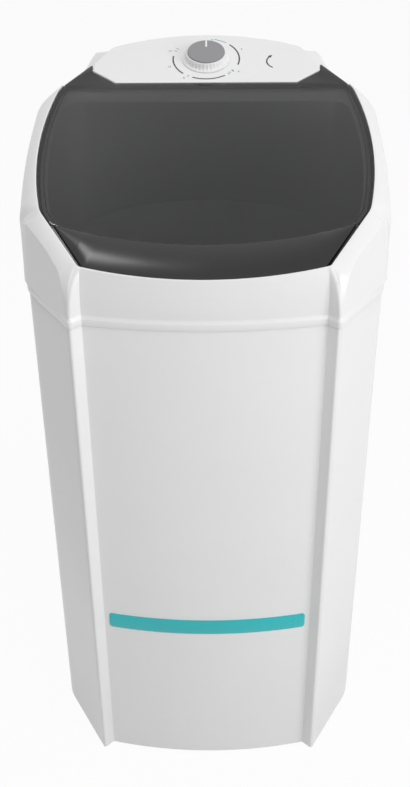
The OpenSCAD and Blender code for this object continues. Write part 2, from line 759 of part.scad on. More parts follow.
timer_screw_x = 22;
module timer_screw_places() {
  on_dial() for (s = [-1, 1]) translate([s*timer_screw_x, 0, 0]) children();
}
module timer_case() {
  color([0.85, 0.83, 0.75]) on_dial() difference() {
    union() {
      translate([-timer_side/2, -timer_side/2, -panel_wall - 0.05 - timer_depth])
        cube([timer_side, timer_side, timer_depth]);
      translate([-timer_side/2 - 5, -9, -panel_wall - 2.05]) cube([timer_side + 10, 18, 2]);
    }
    translate([0, 0, -panel_wall - 20]) cylinder(r = timer_shaft_r + run, h = 40, $fn = 48);
    for (s = [-1, 1]) translate([s*timer_screw_x, 0, -panel_wall - 10])
      cylinder(r = screw_r + seat, h = 20, $fn = 32);
  }
}
module timer_screws() {
  color(steel) timer_screw_places() screw(panel_wall + 8);
}

knob_lift = 0.6;
knob_deck = 3;
cap_t = 3.5;
module knob_body() {
  color(white) on_dial() difference() {
    union() {
      rotate_extrude($fn = 96) polygon([
        [0, knob_h - cap_t], [knob_top_r, knob_h - cap_t + 1.4], [knob_top_r + 0.9, knob_h - cap_t - 1],
        [knob_top_r + 2.4, 5], [knob_foot_r - 2, 1.8], [knob_foot_r, knob_lift + 0.8],
        [knob_foot_r, knob_lift], [0, knob_lift]]);
      for (i = [0:knob_ribs - 1]) rotate([0, 0, i*360/knob_ribs])
        translate([knob_top_r + 0.5, -0.5, knob_lift + 1]) cube([2.2, 1, knob_h - cap_t - 2.4]);
    }
    rotate_extrude($fn = 96) polygon([
      [9, 0], [knob_foot_r - 2.5, 0], [knob_top_r - 1.5, 6],
      [knob_top_r - 2, knob_h - cap_t - knob_deck], [9, knob_h - cap_t - knob_deck]]);
    cylinder(r = timer_shaft_r + seat, h = knob_h - cap_t - 2, $fn = 48);
    translate([0, 0, knob_h - cap_t]) cylinder(r = knob_cap_r + 0.15, h = 10, $fn = 96);
  }
}
module knob_cap() {
  color([0.55, 0.55, 0.55]) on_dial() difference() {
    translate([0, 0, knob_h - cap_t]) rotate_extrude($fn = 96)
      polygon([[0, 0], [knob_cap_r, 0], [knob_cap_r, cap_t - 0.8], [knob_cap_r - 0.8, cap_t], [0, cap_t]]);
    pointer_shape(seat);
  }
}
module pointer_shape(grow) {
  translate([-1.3 - grow, knob_cap_r*0.42 - grow, knob_h - 0.8 - grow])
    cube([2.6 + 2*grow, knob_cap_r*0.5 + 2*grow, 1 + grow]);
}
module knob_pointer() {
  color([1, 1, 1]) on_dial() pointer_shape(0);
}
module timer_shaft() {
  color(steel) on_dial() translate([0, 0, -panel_wall - 19])
    cylinder(r = timer_shaft_r, h = knob_h - cap_t - 3 + panel_wall + 19, $fn = 48);
}

// Lid

lid_wall_t = 2.4;
ear_l = 10;
lip_arc_r = 560;
n_lip = 10;
// Rear edge of the lip, from the middle to the slanted edge
lip_c = [0, -lip_y + lip_arc_r];
lip_end = hit(lid_corner, chamfer_angle, lip_c, lip_arc_r, -1);
lip_edge = [for (i = [0:n_lip]) lip_c + lip_arc_r*outward(asin(lip_end[0]/lip_arc_r)*i/n_lip)];
// The ears are solid: the outline of the room under the lid stops short of them
function lid_rear_half_loop(d) =
  let (f = concat(top_front(d), top_rear(d)),
       flank = ear_tip + d*outward(rear_angle),
       ear = [ear_tip, [ear_in, hinge_y + 5], [ear_in, hinge_y - ear_l]],
       root = [meet(flank, rear_angle, [0, hinge_y - ear_l - 2], 0)])
  concat([for (i = [0:i_rear_flat - 1]) if (f[i][1] > lip_end[1] + 1) f[i]],
         d < 0 ? root : ear, [[lid_rear_half, lid_rear_y + d], [0, lid_rear_y + d]]);
// Outlines of the glass and of the lip; their shared edge is shifted by gap
function shifted(v, y) = [for (p = v) [p[0], p[1] + y]];
function glass_loop(d, gap) =
  let (edge = shifted(lip_edge, gap), e = last(edge) + d*outward(chamfer_angle))
  whole(concat([for (i = [0:n_lip - 1]) edge[i]], [e], lid_rear_half_loop(d)));
function lip_loop(d) =
  let (f = top_front(d), e = lip_end + d*outward(chamfer_angle))
  whole(concat([for (p = f) if (p[1] < e[1] - 1) p], [e], [for (i = [n_lip - 1:-1:0]) lip_edge[i]]));
// Plate under the lid's plane, with upright edges
module lid_plate(loop, from, to) {
  intersection() {
    translate([0, 0, lid_front_z - 60]) linear_extrude(far/4) polygon(loop);
    on_lid_plane() translate([-far/4, -far/4, -to]) cube([far/2, far/2, to - from]);
  }
}
module lid_panel() {
  color(smoke) difference() {
    lid_plate(glass_loop(0, seat), 0, lid_rim);
    lid_plate(glass_loop(-lid_wall_t, -1), lid_t, 3*lid_rim);
    both_sides() on_hinge(ear_in - 10) cylinder(r = pin_r + seat, h = 15, $fn = 48);
  }
}
module lid_lip() {
  color([0.2, 0.2, 0.21]) difference() {
    lid_plate(lip_loop(0), 0, lid_rim);
    lid_plate(shifted(lip_loop(-lid_wall_t), 1), lid_t, 3*lid_rim);
  }
}
module hinge_pins() {
  color(steel) both_sides() on_hinge(platform_end[0] - hinge_block[0] + 0.5)
    cylinder(r = pin_r, h = hinge_block[0] + 5, $fn = 48);
}

// Tub

function tub_r(z) = tub_low_r + (tub_top_r - tub_low_r)*(z - tub_floor - 30)/(tub_seat_z - tub_floor - 30);
tub_screw_ring = tub_flange_r - 7;
module wash_tub() {
  t = tub_wall;
  color([0.94, 0.94, 0.94]) difference() {
    rotate_extrude($fn = 180) polygon([
      [0, tub_floor], [agitator_r + 14, tub_floor], [tub_low_r - 18, tub_floor + 5],
      [tub_low_r - 4, tub_floor + 13], [tub_low_r + t, tub_floor + 29],
      [tub_top_r + t, tub_seat_z - fit - t], [tub_flange_r, tub_seat_z - fit - t],
      [tub_flange_r, tub_seat_z - fit], [tub_top_r, tub_seat_z - fit],
      [tub_low_r, tub_floor + 30], [tub_low_r - 7, tub_floor + 17],
      [tub_low_r - 20, tub_floor + 9], [agitator_r + 13, tub_floor + 4], [0, tub_floor + 4]]);
    cylinder(r = housing_r + 2 + seat, h = tub_floor + 20, $fn = 64);
    translate([drain_x, drain_y, 0]) cylinder(r = spigot_r + seat, h = tub_floor + 20, $fn = 64);
    for (a = [1:8]) rotate([0, 0, a*45 - 22.5]) translate([tub_screw_ring, 0, 0])
      cylinder(r = screw_r + seat, h = tub_seat_z + 5, $fn = 32);
    housing_screw_places() cylinder(r = screw_r + seat, h = 30, center = true, $fn = 32);
    for (z = filter_screw_zs()) translate([-tub_r(z), 0, z]) rotate([0, 90, 0])
      cylinder(r = screw_r + seat, h = 12, center = true, $fn = 32);
  }
}
module tub_screws() {
  color(steel) for (a = [1:8]) rotate([0, 0, a*45 - 22.5])
    translate([tub_screw_ring, 0, tub_seat_z - fit - tub_wall]) mirror([0, 0, 1])
      screw(tub_wall + fit + collar_t);
}

housing_flange_r = 62;
housing_screw_ring = 52;
seal_h = 6;
housing_low = tub_floor - housing_drop;
housing_top = tub_floor + 12;
module housing_screw_places() {
  for (a = [1:4]) rotate([0, 0, a*90 - 45]) translate([housing_screw_ring, 0, tub_floor]) children();
}
module bearing_housing() {
  color([0.72, 0.73, 0.74]) difference() {
    union() {
      translate([0, 0, tub_floor - 5]) cylinder(r = housing_flange_r, h = 5, $fn = 96);
      translate([0, 0, housing_low]) cylinder(r = housing_r, h = housing_drop, $fn = 64);
      translate([0, 0, tub_floor - eps]) cylinder(r = housing_r + 2, h = 12 + eps, $fn = 64);
      for (a = [0:5]) rotate([0, 0, a*60]) translate([housing_r - 2, -1.5, tub_floor - 25])
        cube([housing_flange_r - housing_r - 8, 3, 21]);
    }
    translate([0, 0, housing_low - 1]) cylinder(r = bearing_r + seat, h = bearing_h + 1, $fn = 64);
    translate([0, 0, housing_low]) cylinder(r = bearing_r - 3, h = far/10, $fn = 64);
    translate([0, 0, housing_top - seal_h - bearing_h])
      cylinder(r = bearing_r + seat, h = bearing_h + seal_h + 1, $fn = 64);
    housing_screw_places() cylinder(r = screw_r + seat, h = 30, center = true, $fn = 32);
  }
}
module housing_screws() {
  color(steel) housing_screw_places() translate([0, 0, -5]) mirror([0, 0, 1]) screw(5 + 4);
}
module bearing() {
  difference() {
    cylinder(r = bearing_r, h = bearing_h, $fn = 64);
    translate([0, 0, -1]) cylinder(r = shaft_r + run, h = bearing_h + 2, $fn = 64);
  }
}
module lower_bearing() { color([0.72, 0.55, 0.3]) translate([0, 0, housing_low]) bearing(); }
module upper_bearing() {
  color([0.72, 0.55, 0.3]) translate([0, 0, housing_top - seal_h - bearing_h]) bearing();
}
module shaft_seal() {
  color([0.15, 0.15, 0.15]) translate([0, 0, housing_top - seal_h]) rotate_extrude($fn = 64)
    polygon([[shaft_r + run, 0], [bearing_r, 0], [bearing_r, seal_h], [shaft_r + 4, seal_h],
             [shaft_r + 3, 2], [shaft_r + run, seal_h - 1]]);
}

// Agitator

hub_z = housing_top + 2;
hub_h = 22;
cap_z = hub_z + 86;
module agitator() {
  color([0.9, 0.91, 0.93]) difference() {
    union() {
      rotate_extrude($fn = 120) polygon([
        [0, hub_z], [17, hub_z], [17, hub_z + 14], [34, hub_z + 16], [60, hub_z + 2],
        [agitator_r - 6, hub_z - 3], [agitator_r - 2, hub_z - 7], [agitator_r, hub_z - 7],
        [agitator_r, hub_z - 2], [agitator_r - 4, hub_z + 1], [62, hub_z + 6], [42, hub_z + 22],
        [30, hub_z + 50], [23, cap_z - 2], [20, cap_z], [0, cap_z]]);
      for (i = [1:agitator_fins]) rotate([0, 0, i*360/agitator_fins]) rotate([90, 0, 0])
        translate([0, 0, -2.5]) linear_extrude(5) polygon([
          [24, hub_z + 64], [34, hub_z + 50], [58, hub_z + 30], [agitator_r - 30, hub_z + 22],
          [agitator_r - 12, hub_z + 14], [agitator_r - 6, hub_z - 1], [60, hub_z + 4], [24, hub_z + 20]]);
      // Small ribs between the fins
      for (i = [1:agitator_fins]) rotate([0, 0, (i + 0.5)*360/agitator_fins])
        translate([64, -2, hub_z + 2]) cube([agitator_r - 76, 4, 8]);
    }
    translate([0, 0, hub_z - 1]) cylinder(r = shaft_r + seat, h = hub_h + 1, $fn = 64);
    cylinder(r = 3 + seat, h = cap_z, $fn = 48);
    translate([0, 0, hub_z + hub_h + 4]) cylinder(r = 12, h = 100, $fn = 64);
  }
}
module agitator_cap() {
  color([0.75, 0.77, 0.8]) difference() {
    union() {
      translate([0, 0, cap_z]) rotate_extrude($fn = 64) polygon([
        [0, 0], [18, 0], [18, 2], [14, 5.5], [0, 7]]);
      translate([0, 0, cap_z - 8]) cylinder(r = 12 - seat, h = 8 + eps, $fn = 64);
    }
    translate([0, 0, cap_z - 9]) cylinder(r = 9.5, h = 8, $fn = 64);
  }
}
shaft_low = belt_z - 20;
shaft_high = hub_z + hub_h - 1;
module agitator_screw() {
  color(steel) {
    translate([0, 0, hub_z + hub_h + 4]) cylinder(r = 7, h = 5, $fn = 6);
    translate([0, 0, shaft_high - 16]) cylinder(r = 3, h = hub_z + hub_h + 4 - shaft_high + 16 + eps, $fn = 48);
  }
}
module drive_shaft() {
  color(steel) difference() {
    union() {
      translate([0, 0, belt_z - 8]) cylinder(r = shaft_r, h = shaft_high - belt_z + 8, $fn = 64);
      translate([0, 0, shaft_low]) cylinder(r = shaft_r - 1, h = 12 + eps, $fn = 48);
    }
    translate([0, 0, shaft_high - 17]) cylinder(r = 3 + seat, h = 30, $fn = 48);
  }
}

// Belt drive

groove_h = belt_w + 0.6;
function pulley_outline(r, bore, hub, top) =
  let (in = r - belt_d/2 - fit, lip = r + belt_d/2 + 1, h = groove_h/2, w = belt_w/2*0.55 + 0.3)
  [[bore, -8], [hub, -8], [hub, -5], [in - 3, -5], [in - 3, -h - 2], [lip, -h - 2], [lip, -h - 0.2],
   [in, -w], [in, w], [lip, h + 0.2], [lip, h + 2], [in - 3, h + 2], [in - 3, 5], [hub, 5],
   [hub, top], [bore, top]];
module drive_pulley() {
  color([0.5, 0.52, 0.54]) translate([0, 0, belt_z]) difference() {
    rotate_extrude($fn = 120)
      polygon(pulley_outline(big_pulley_r, shaft_r + seat, 16, housing_low - belt_z - 0.5));
    for (i = [1:5]) rotate([0, 0, i*72]) translate([(big_pulley_r + 12)/2, 0, -10])
      cylinder(r = (big_pulley_r - 34)/2 - 6, h = 20, $fn = 48);
  }
}
module pulley_nut() {
  color(steel) translate([0, 0, belt_z - 8 - 7]) difference() {
    cylinder(r = 9.5, h = 7, $fn = 6);
    translate([0, 0, -1]) cylinder(r = shaft_r - 1 + seat, h = 10, $fn = 48);
  }
}
module motor_pulley() {
  color([0.5, 0.52, 0.54]) translate([0, motor_y, belt_z]) rotate_extrude($fn = 64)
    polygon([[motor_shaft_r + seat, -9], [small_pulley_r + belt_d/2 + 1, -9],
             [small_pulley_r + belt_d/2 + 1, -groove_h/2 - 0.2],
             [small_pulley_r - belt_d/2 - fit, -belt_w/2*0.55 - 0.3],
             [small_pulley_r - belt_d/2 - fit, belt_w/2*0.55 + 0.3],
             [small_pulley_r + belt_d/2 + 1, groove_h/2 + 0.2],
             [small_pulley_r + belt_d/2 + 1, 9], [motor_shaft_r + seat, 9]]);
}
// The belt's loop round both pulleys, at a distance off the pitch line
belt_steps = 60;
module belt_loop(d) {
  a = asin((big_pulley_r - small_pulley_r)/motor_y);
  polygon(concat(
    [for (i = [0:belt_steps/2])
      [0, motor_y] + (small_pulley_r + d)*dir(a + (180 - 2*a)*i*2/belt_steps)],
    [for (i = [0:belt_steps]) (big_pulley_r + d)*dir(180 - a + (180 + 2*a)*i/belt_steps)]));
}
module drive_belt() {
  color([0.1, 0.1, 0.1]) translate([0, 0, belt_z - belt_w*0.275]) difference() {
    linear_extrude(belt_w*0.55) belt_loop(belt_d/2);
    translate([0, 0, -1]) linear_extrude(belt_w) belt_loop(-belt_d/2);
  }
}

// Motor

bracket_z = foot_h + tray_t + 36;
bracket_t = 2.5;
cap_h = 18;
motor_z = bracket_z + bracket_t;
stator_z = motor_z + cap_h;
motor_top_z = stator_z + stator_h;
bolt_ring = motor_r - 7;
module motor_bolt_places() {
  for (a = [1:4]) translate([0, motor_y, 0]) rotate([0, 0, a*90 - 45]) translate([bolt_ring, 0, 0]) children();
}
module motor_base_cap() {
  color([0.6, 0.62, 0.64]) difference() {
    translate([0, motor_y, motor_z]) rotate_extrude($fn = 96) polygon([
      [motor_shaft_r + run, 6], [16, 6], [16, 3], [22, 0], [motor_r - 2, 0], [motor_r, 2],
      [motor_r, cap_h], [motor_r - 4, cap_h], [motor_r - 4, 6], [20, 8], [17, 14], [motor_shaft_r + run, 14]]);
    motor_bolt_places() cylinder(r = screw_r + seat, h = far/4, $fn = 32);
  }
}
module motor_top_cap() {
  color([0.6, 0.62, 0.64]) difference() {
    translate([0, motor_y, motor_top_z]) rotate_extrude($fn = 96) polygon([
      [motor_shaft_r + run, 2], [17, 2], [20, 8], [motor_r - 4, 10], [motor_r - 4, 0], [motor_r, 0],
      [motor_r, 9], [motor_r - 12, 14], [20, 16], [14, 20], [motor_shaft_r + run, 20]]);
    motor_bolt_places() cylinder(r = screw_r + seat, h = far/4, $fn = 32);
  }
}
module motor_stator() {
  color([0.35, 0.36, 0.4]) translate([0, 0, stator_z]) difference() {
    translate([0, motor_y, 0]) {
      cylinder(r = motor_r, h = stator_h, $fn = 96);
    }
    translate([0, motor_y, -1]) cylinder(r = 30, h = stator_h + 2, $fn = 96);
    motor_bolt_places() translate([0, 0, -1]) cylinder(r = screw_r + seat, h = far/4, $fn = 32);
  }
}
module motor_bolts() {
  color(steel) motor_bolt_places() {
    translate([0, 0, motor_top_z + 13.6]) cylinder(r = head_r, h = 3, $fn = 6);
    translate([0, 0, bracket_z - 6]) cylinder(r = screw_r, h = motor_top_z + 13.6 - bracket_z + 6 + eps, $fn = 32);
    translate([0, 0, bracket_z - 4]) cylinder(r = head_r, h = 4, $fn = 6);
  }
}
module motor_shaft() {
  color(steel) translate([0, motor_y, motor_z + 5]) {
    cylinder(r = motor_shaft_r, h = belt_z + 9 - motor_z - 5, $fn = 64);
    translate([0, 0, stator_z - motor_z - 1]) cylinder(r = 29.5, h = stator_h - 8, $fn = 96);
  }
}
bracket_w = 100;
bracket_l = 130;
module bracket_screw_places() {
  for (x = [-1, 1]) for (y = [-1, 1])
    translate([x*(bracket_w/2 + 9), motor_y + y*40, foot_h + tray_t + bracket_t]) children();
}
module motor_bracket() {
  z0 = foot_h + tray_t;
  color([0.66, 0.67, 0.68]) difference() {
    union() {
      translate([-bracket_w/2, motor_y - bracket_l/2, bracket_z]) cube([bracket_w, bracket_l, bracket_t]);
      for (s = [0, 1]) mirror([s, 0, 0]) {
        translate([bracket_w/2 - bracket_t, motor_y - bracket_l/2, z0])
          cube([bracket_t, bracket_l, bracket_z - z0 + bracket_t]);
        translate([bracket_w/2 - bracket_t, motor_y - bracket_l/2, z0]) cube([20, bracket_l, bracket_t]);
      }
    }
    translate([0, motor_y, 0]) cylinder(r = 17, h = far/4, $fn = 64);
    motor_bolt_places() cylinder(r = screw_r + seat, h = far/4, $fn = 32);
    bracket_screw_places() cylinder(r = screw_r + seat, h = 20, center = true, $fn = 32);
  }
}
module bracket_screws() {
  color(steel) bracket_screw_places() screw(bracket_t + tray_t + 1);
}

capacitor_x = -130;
capacitor_y = 120;
capacitor_r = 18;
capacitor_h = 78;
module capacitor() {
  color([0.85, 0.86, 0.88]) translate([capacitor_x, capacitor_y, foot_h + tray_t]) {
    cylinder(r = capacitor_r, h = capacitor_h, $fn = 64);
    for (s = [-1, 1]) translate([s*6 - 0.4, -3, capacitor_h - eps]) cube([0.8, 6, 9]);
  }
}
module capacitor_clamp() {
  color([0.66, 0.67, 0.68]) translate([capacitor_x, capacitor_y, foot_h + tray_t]) {
    difference() {
      translate([0, 0, 2.02]) cylinder(r = capacitor_r + 1.8, h = 22, $fn = 64);
      cylinder(r = capacitor_r + 0.1, h = 30, $fn = 64);
    }
    difference() {
      translate([-8, capacitor_r + 1, 0]) cube([16, 16, 2.2]);
      cylinder(r = capacitor_r + 0.1, h = 30, $fn = 64);
      translate([0, 27, -1]) cylinder(r = screw_r + seat, h = 5, $fn = 32);
    }
  }
}

// Drain

module drain_strainer() {
  color([0.8, 0.82, 0.85]) translate([drain_x, drain_y, tub_floor + 4]) difference() {
    cylinder(r = spigot_r + 7, h = 1.5, $fn = 64);
    for (i = [-2:2]) translate([-9 + abs(i), i*4 - 0.9, -1]) cube([18 - 2*abs(i), 1.8, 5]);
  }
}
outlet_low = tub_floor - 22;
module tub_outlet() {
  color([0.85, 0.85, 0.86]) translate([drain_x, drain_y, 0]) difference() {
    union() {
      translate([0, 0, outlet_low]) cylinder(r = spigot_r, h = tub_floor + 4 - outlet_low, $fn = 64);
      translate([0, 0, tub_floor - 3.5]) cylinder(r = spigot_r + 6, h = 3.5, $fn = 64);
    }
    translate([0, 0, outlet_low - 1]) cylinder(r = spigot_r - spigot_t, h = 60, $fn = 64);
  }
}
hose_bend = 34;
hose_end_y = cab_d/2 - 30;
hose_top_z = tub_floor - 4;
hose_sides = 24;
hose_turns = 8;
// Middle line of the hose: down from the tub, round one bend and back to the outlet
hose_route = concat(
  [[drain_x, drain_y, hose_top_z], [drain_x, drain_y, hose_top_z - 20]],
  [for (i = [0:hose_turns]) let (a = 90*i/hose_turns)
    [drain_x, drain_y + hose_bend*(1 - cos(a)), outlet_z + hose_bend*(1 - sin(a))]],
  [[drain_x, hose_end_y - 20, outlet_z], [drain_x, hose_end_y, outlet_z]]);
module drain_hose() {
  outer = tube_rings(hose_route, spigot_r + hose_t, hose_sides);
  inner = tube_rings(hose_route, (spigot_r + seat)/cos(180/hose_sides), hose_sides);
  color([0.3, 0.3, 0.32]) ring_skin(concat(outer, [for (i = [len(inner) - 1:-1:0]) inner[i]]));
}
module hose_clamps() {
  color(steel) {
    translate([drain_x, drain_y, hose_top_z - 14]) clamp_ring();
    translate([drain_x, hose_end_y - 6, outlet_z]) rotate([90, 0, 0]) clamp_ring();
  }
}
module clamp_ring() {
  r = spigot_r + hose_t + 0.1;
  difference() {
    union() {
      cylinder(r = r + 1, h = 8, $fn = 64);
      translate([r, -3.5, 0]) cube([7, 7, 8]);
    }
    translate([0, 0, -1]) cylinder(r = r, h = 10, $fn = 64);
  }
}
module drain_outlet() {
  color([0.85, 0.85, 0.86]) difference() {
    union() {
      translate([drain_x, hose_end_y - 22, outlet_z]) rotate([-90, 0, 0])
        cylinder(r = spigot_r, h = outlet_end_y - hose_end_y + 22, $fn = 64);
      on_rear(drain_x, outlet_z) translate([0, 0, 0.2]) cylinder(r = spigot_r + 6, h = 2.5, $fn = 64);
    }
    translate([drain_x, 0, outlet_z]) rotate([-90, 0, 0])
      cylinder(r = spigot_r - spigot_t, h = far/4, $fn = 64);
  }
}

// Electrics

module cord_gland() {
  color([0.12, 0.12, 0.12]) on_rear(gland_x, gland_z) difference() {
    union() {
      translate([0, 0, -wall - 5]) cylinder(r = gland_r, h = wall + 5.2, $fn = 48);
      translate([0, 0, 0.15]) cylinder(r = gland_r + 4, h = 3, $fn = 48);
      translate([0, 0, -wall - 5]) cylinder(r = gland_r + 2.5, h = 4.6, $fn = 6);
    }
    translate([0, 0, -20]) cylinder(r = 4, h = 40, $fn = 48);
  }
}
loom_r = 4;
loom_sides = 8;
// Rings of a tube along a route, each square to the route's run there
function tube_rings(route, r, n) =
  [for (i = [0:len(route) - 1])
    let (a = route[max(i - 1, 0)], b = route[min(i + 1, len(route) - 1)],
         t = (b - a)/norm(b - a), u = cross(t, [1, 0, 0])/norm(cross(t, [1, 0, 0])), w = cross(t, u))
    [for (k = [0:n - 1]) route[i] + r*(cos(k*360/n)*u + sin(k*360/n)*w)]];
module tube(route, r) {
  n = loom_sides;
  m = len(route);
  polyhedron(
    points = [for (ring = tube_rings(route, r, n)) for (p = ring) p],
    faces = concat(
      [[for (k = [0:n - 1]) k]],
      [for (i = [0:m - 2]) for (k = [0:n - 1]) for (h = [0, 1])
        let (a = i*n + k, b = i*n + (k + 1)%n, c = (i + 1)*n + (k + 1)%n, d = (i + 1)*n + k)
        h == 0 ? [a, c, b] : [a, d, c]],
      [[for (k = [n - 1:-1:0]) (m - 1)*n + k]]),
    convexity = 6);
}
module wire_loom() {
  timer_low = panel_z(dial_y) - (panel_wall + timer_depth)/cos(panel_tilt);
  y = cab_d/2 - wall - loom_r - 1.5;
  end_z = stator_z + stator_h/2;
  route = [[-12, dial_y + 20, timer_low + 2], [-12, dial_y + 24, timer_low - 16],
           [-16, dial_y + 40, timer_low - 40], [-24, y, timer_low - 70], [-30, y, timer_low - 110],
           [-30, y, 700], [-30, y, 500], [-30, y, 300], [-30, y, end_z + 40],
           [-28, y - 8, end_z + 18], [-24, y - 22, end_z + 4], [-20, motor_y + motor_r + 1, end_z]];
  color([0.1, 0.1, 0.1]) tube(route, loom_r);
}

// Lint filter

holder_gap = 0.5;
holder_wall = 3;
holder_z = filter_z - 8;
holder_h = filter_h*0.75;
function filter_screw_zs() = [holder_z + 18, holder_z + holder_h - 18];
module holder_block() {
  w = filter_w + 2*holder_wall + 2*holder_gap;
  translate([-tub_top_r, -w/2, holder_z]) cube([tub_top_r - filter_x + filter_t/2 + holder_gap + holder_wall, w, holder_h]);
}
module filter_holder() {
  inner = filter_w + 2*holder_gap;
  color([0.88, 0.9, 0.92]) difference() {
    intersection() {
      holder_block();
      rotate_extrude($fn = 180) polygon(concat([[0, tub_floor + 31]],
        [[tub_r(tub_floor + 31) - fit, tub_floor + 31], [tub_r(tub_seat_z) - fit, tub_seat_z]],
        [[0, tub_seat_z]]));
    }
    // Slot that the filter slides in, and the window in front of it
    translate([-filter_x - filter_t/2 - holder_gap, -inner/2, filter_z - holder_gap])
      cube([filter_t + 2*holder_gap, inner, far/4]);
    translate([-filter_x, -inner/2 + 9, filter_z + 12]) cube([40, inner - 18, holder_h - 32]);
    translate([-far/4, -inner/2 + 9, filter_z + 28]) cube([far/4 - filter_x, inner - 18, holder_h - 72]);
    for (z = filter_screw_zs()) translate([-tub_r(z), 0, z]) rotate([0, 90, 0])
      cylinder(r = screw_r + seat, h = 30, center = true, $fn = 32);
  }
}
module lint_filter() {
  color([0.2, 0.55, 0.75]) translate([-filter_x - filter_t/2, -filter_w/2, filter_z]) difference() {
    union() {
      cube([filter_t, filter_w, filter_h]);
      translate([0, filter_w/2 - 20, filter_h - eps]) cube([filter_t, 40, 12]);
    }
    for (i = [0:9]) for (j = [0:2])
      translate([-1, 8 + j*(filter_w - 12)/3, 12 + i*(filter_h - 24)/10])
        cube([filter_t + 2, (filter_w - 12)/3 - 4, (filter_h - 24)/10 - 3]);
  }
}

front_panel();
left_side_panel();
right_side_panel();
rear_panel();
base_tray();
feet();
base_screws();
front_stripe();
rear_cover();
rear_cover_screws();
top_collar();
collar_screws();
control_panel();
hinge_blocks();
wash_tub();
tub_screws();
bearing_housing();
housing_screws();
upper_bearing();
lower_bearing();
shaft_seal();
drain_strainer();
tub_outlet();
drain_hose();
hose_clamps();
drain_outlet();
motor_stator();
motor_top_cap();
motor_base_cap();
motor_bolts();
motor_bracket();
bracket_screws();
capacitor();
capacitor_clamp();
drive_belt();
timer_case();
timer_screws();
cord_gland();
wire_loom();
filter_holder();
lid_panel();
lid_lip();
hinge_pins();
knob_body();
knob_cap();
knob_pointer();
timer_shaft();
agitator();
agitator_cap();
agitator_screw();
drive_shaft();
drive_pulley();
pulley_nut();
motor_shaft();
motor_pulley();
lint_filter();
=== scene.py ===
import json
import math

import bmesh
import bpy
from mathutils import Euler, Matrix, Vector


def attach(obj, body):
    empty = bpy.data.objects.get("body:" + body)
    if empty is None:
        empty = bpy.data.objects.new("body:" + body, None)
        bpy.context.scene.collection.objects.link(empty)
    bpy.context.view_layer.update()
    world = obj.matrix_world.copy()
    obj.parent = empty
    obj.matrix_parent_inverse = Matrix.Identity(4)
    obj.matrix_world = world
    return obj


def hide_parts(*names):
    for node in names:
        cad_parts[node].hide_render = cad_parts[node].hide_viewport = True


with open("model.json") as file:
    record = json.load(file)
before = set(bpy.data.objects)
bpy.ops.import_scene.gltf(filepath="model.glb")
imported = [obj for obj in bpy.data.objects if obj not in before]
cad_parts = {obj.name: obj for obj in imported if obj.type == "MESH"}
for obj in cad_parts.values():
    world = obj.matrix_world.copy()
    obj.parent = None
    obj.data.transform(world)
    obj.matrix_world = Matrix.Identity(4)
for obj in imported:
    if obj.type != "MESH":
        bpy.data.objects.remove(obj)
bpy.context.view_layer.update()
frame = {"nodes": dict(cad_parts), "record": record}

MM = 0.001

# Lengths are in millimetres and angles in degrees, as in the CAD source, unless said otherwise

# Cabinet
CAB_W, CAB_D = 508.0, 520.0
CAB_TOP, CAB_BOTTOM, WALL = 806.0, 3.0, 3.0
FRONT_R, PANEL_HALF = 685.0, 161.0
POST_OUT, POST_FWD, RIDGE_R = 14.5, 14.0, 3.5
FLAT_ANGLE, CORNER_R, SIDE_BULGE = 59.8, 80.0, 2.5
JOINT_GAP = 0.6
BEVEL_FROM = 35

# Lid and top
LID_TILT, LID_FRONT_Z, LID_FRONT_R, LID_FRONT_HALF = 21.1, 865.0, 560.0, 161.0
LID_SIDE_X, LID_SIDE_FRONT, LID_SIDE_REAR, LID_HALF_W = 222.0, 130.0, 137.0, 238.5
LID_FRONT_Y = -CAB_D / 2 + 6.0
LID_REAR_Y, LID_REAR_HALF = 147.5, 141.0
LID_T, LID_RIM, LID_GAP, RIM_W, LID_WALL = 3.5, 8.7, 1.2, 1.8, 2.4
LIP_Y, LIP_ARC_R = 194.0, 560.0
BACK_R, BACK_HALF = 400.0, 149.0
SKIRT_OUT, SKIRT_DROP, SHOULDER_OUT = 2.6, 11.0, 6.5
LID_CORNER_R, LID_SHOULDER_R, BACK_CORNER_R = 7.0, 60.0, 36.0
SEAT_W, MOUTH_REAR, MOUTH_CORNER_R = 14.0, 117.0, 24.0
COLLAR_T, TUB_TOP_R, TUB_FLANGE_R = 3.0, 228.0, 246.0
HINGE_Y, HINGE_Z, EAR_IN, EAR_L, EAR_SWEEP_R = 186.0, 1029.58, 178.0, 10.0, 9.5
PLATFORM_DROP = 5.0
LIP_BULGE, LIP_FALL, LIP_SIDE_GAP, BORDER_W = 3.2, 2.2, 4.2, 9.5

# Control panel and dial
PANEL_TILT, FACE_Y, PANEL_FRONT_HALF = 23.5, LID_REAR_Y + 2, 140.0
PANEL_END, PANEL_ROOT_Y, PANEL_TIP_Y = 176.5, 178.0, 194.0
CREASE_TOP, FACET_FALL = (159.0, 216.0), 0.7
DIAL_Y = 203.6
KNOB_FOOT_R, KNOB_TOP_R, KNOB_CAP_R, KNOB_H = 37.6, 30.8, 29.0, 14.0
KNOB_RIBS, RIB_FROM, RIB_TO, RIB_OUT = 36, 5, 9, 0.9
RING_R, RING_W = 53.3, 2.3
PRINT_Z, PRINT_T = 0.02, 0.1

# Stripe
STRIPE_Z, STRIPE_H, STRIPE_HALF, STRIPE_T, STRIPE_R = 270.0, 27.5, 153.0, 0.8, 5.0

# Points on each stretch of a quarter outline, and across the lip
N_ARC, N_RIDGE, N_FLAT, N_CORNER, N_SIDE = 36, 10, 16, 16, 22
N_LIP, LIP_COUNT, LIP_STEPS, LIP_FULL_DEPTH = 60, 120, 14, 40.0


# Plan geometry

def vec(a):
    """The direction at angle a."""
    return Vector((math.cos(math.radians(a)), math.sin(math.radians(a))))


def outward(a):
    """The outward normal of an outline that runs at angle a."""
    return Vector((math.sin(math.radians(a)), -math.cos(math.radians(a))))


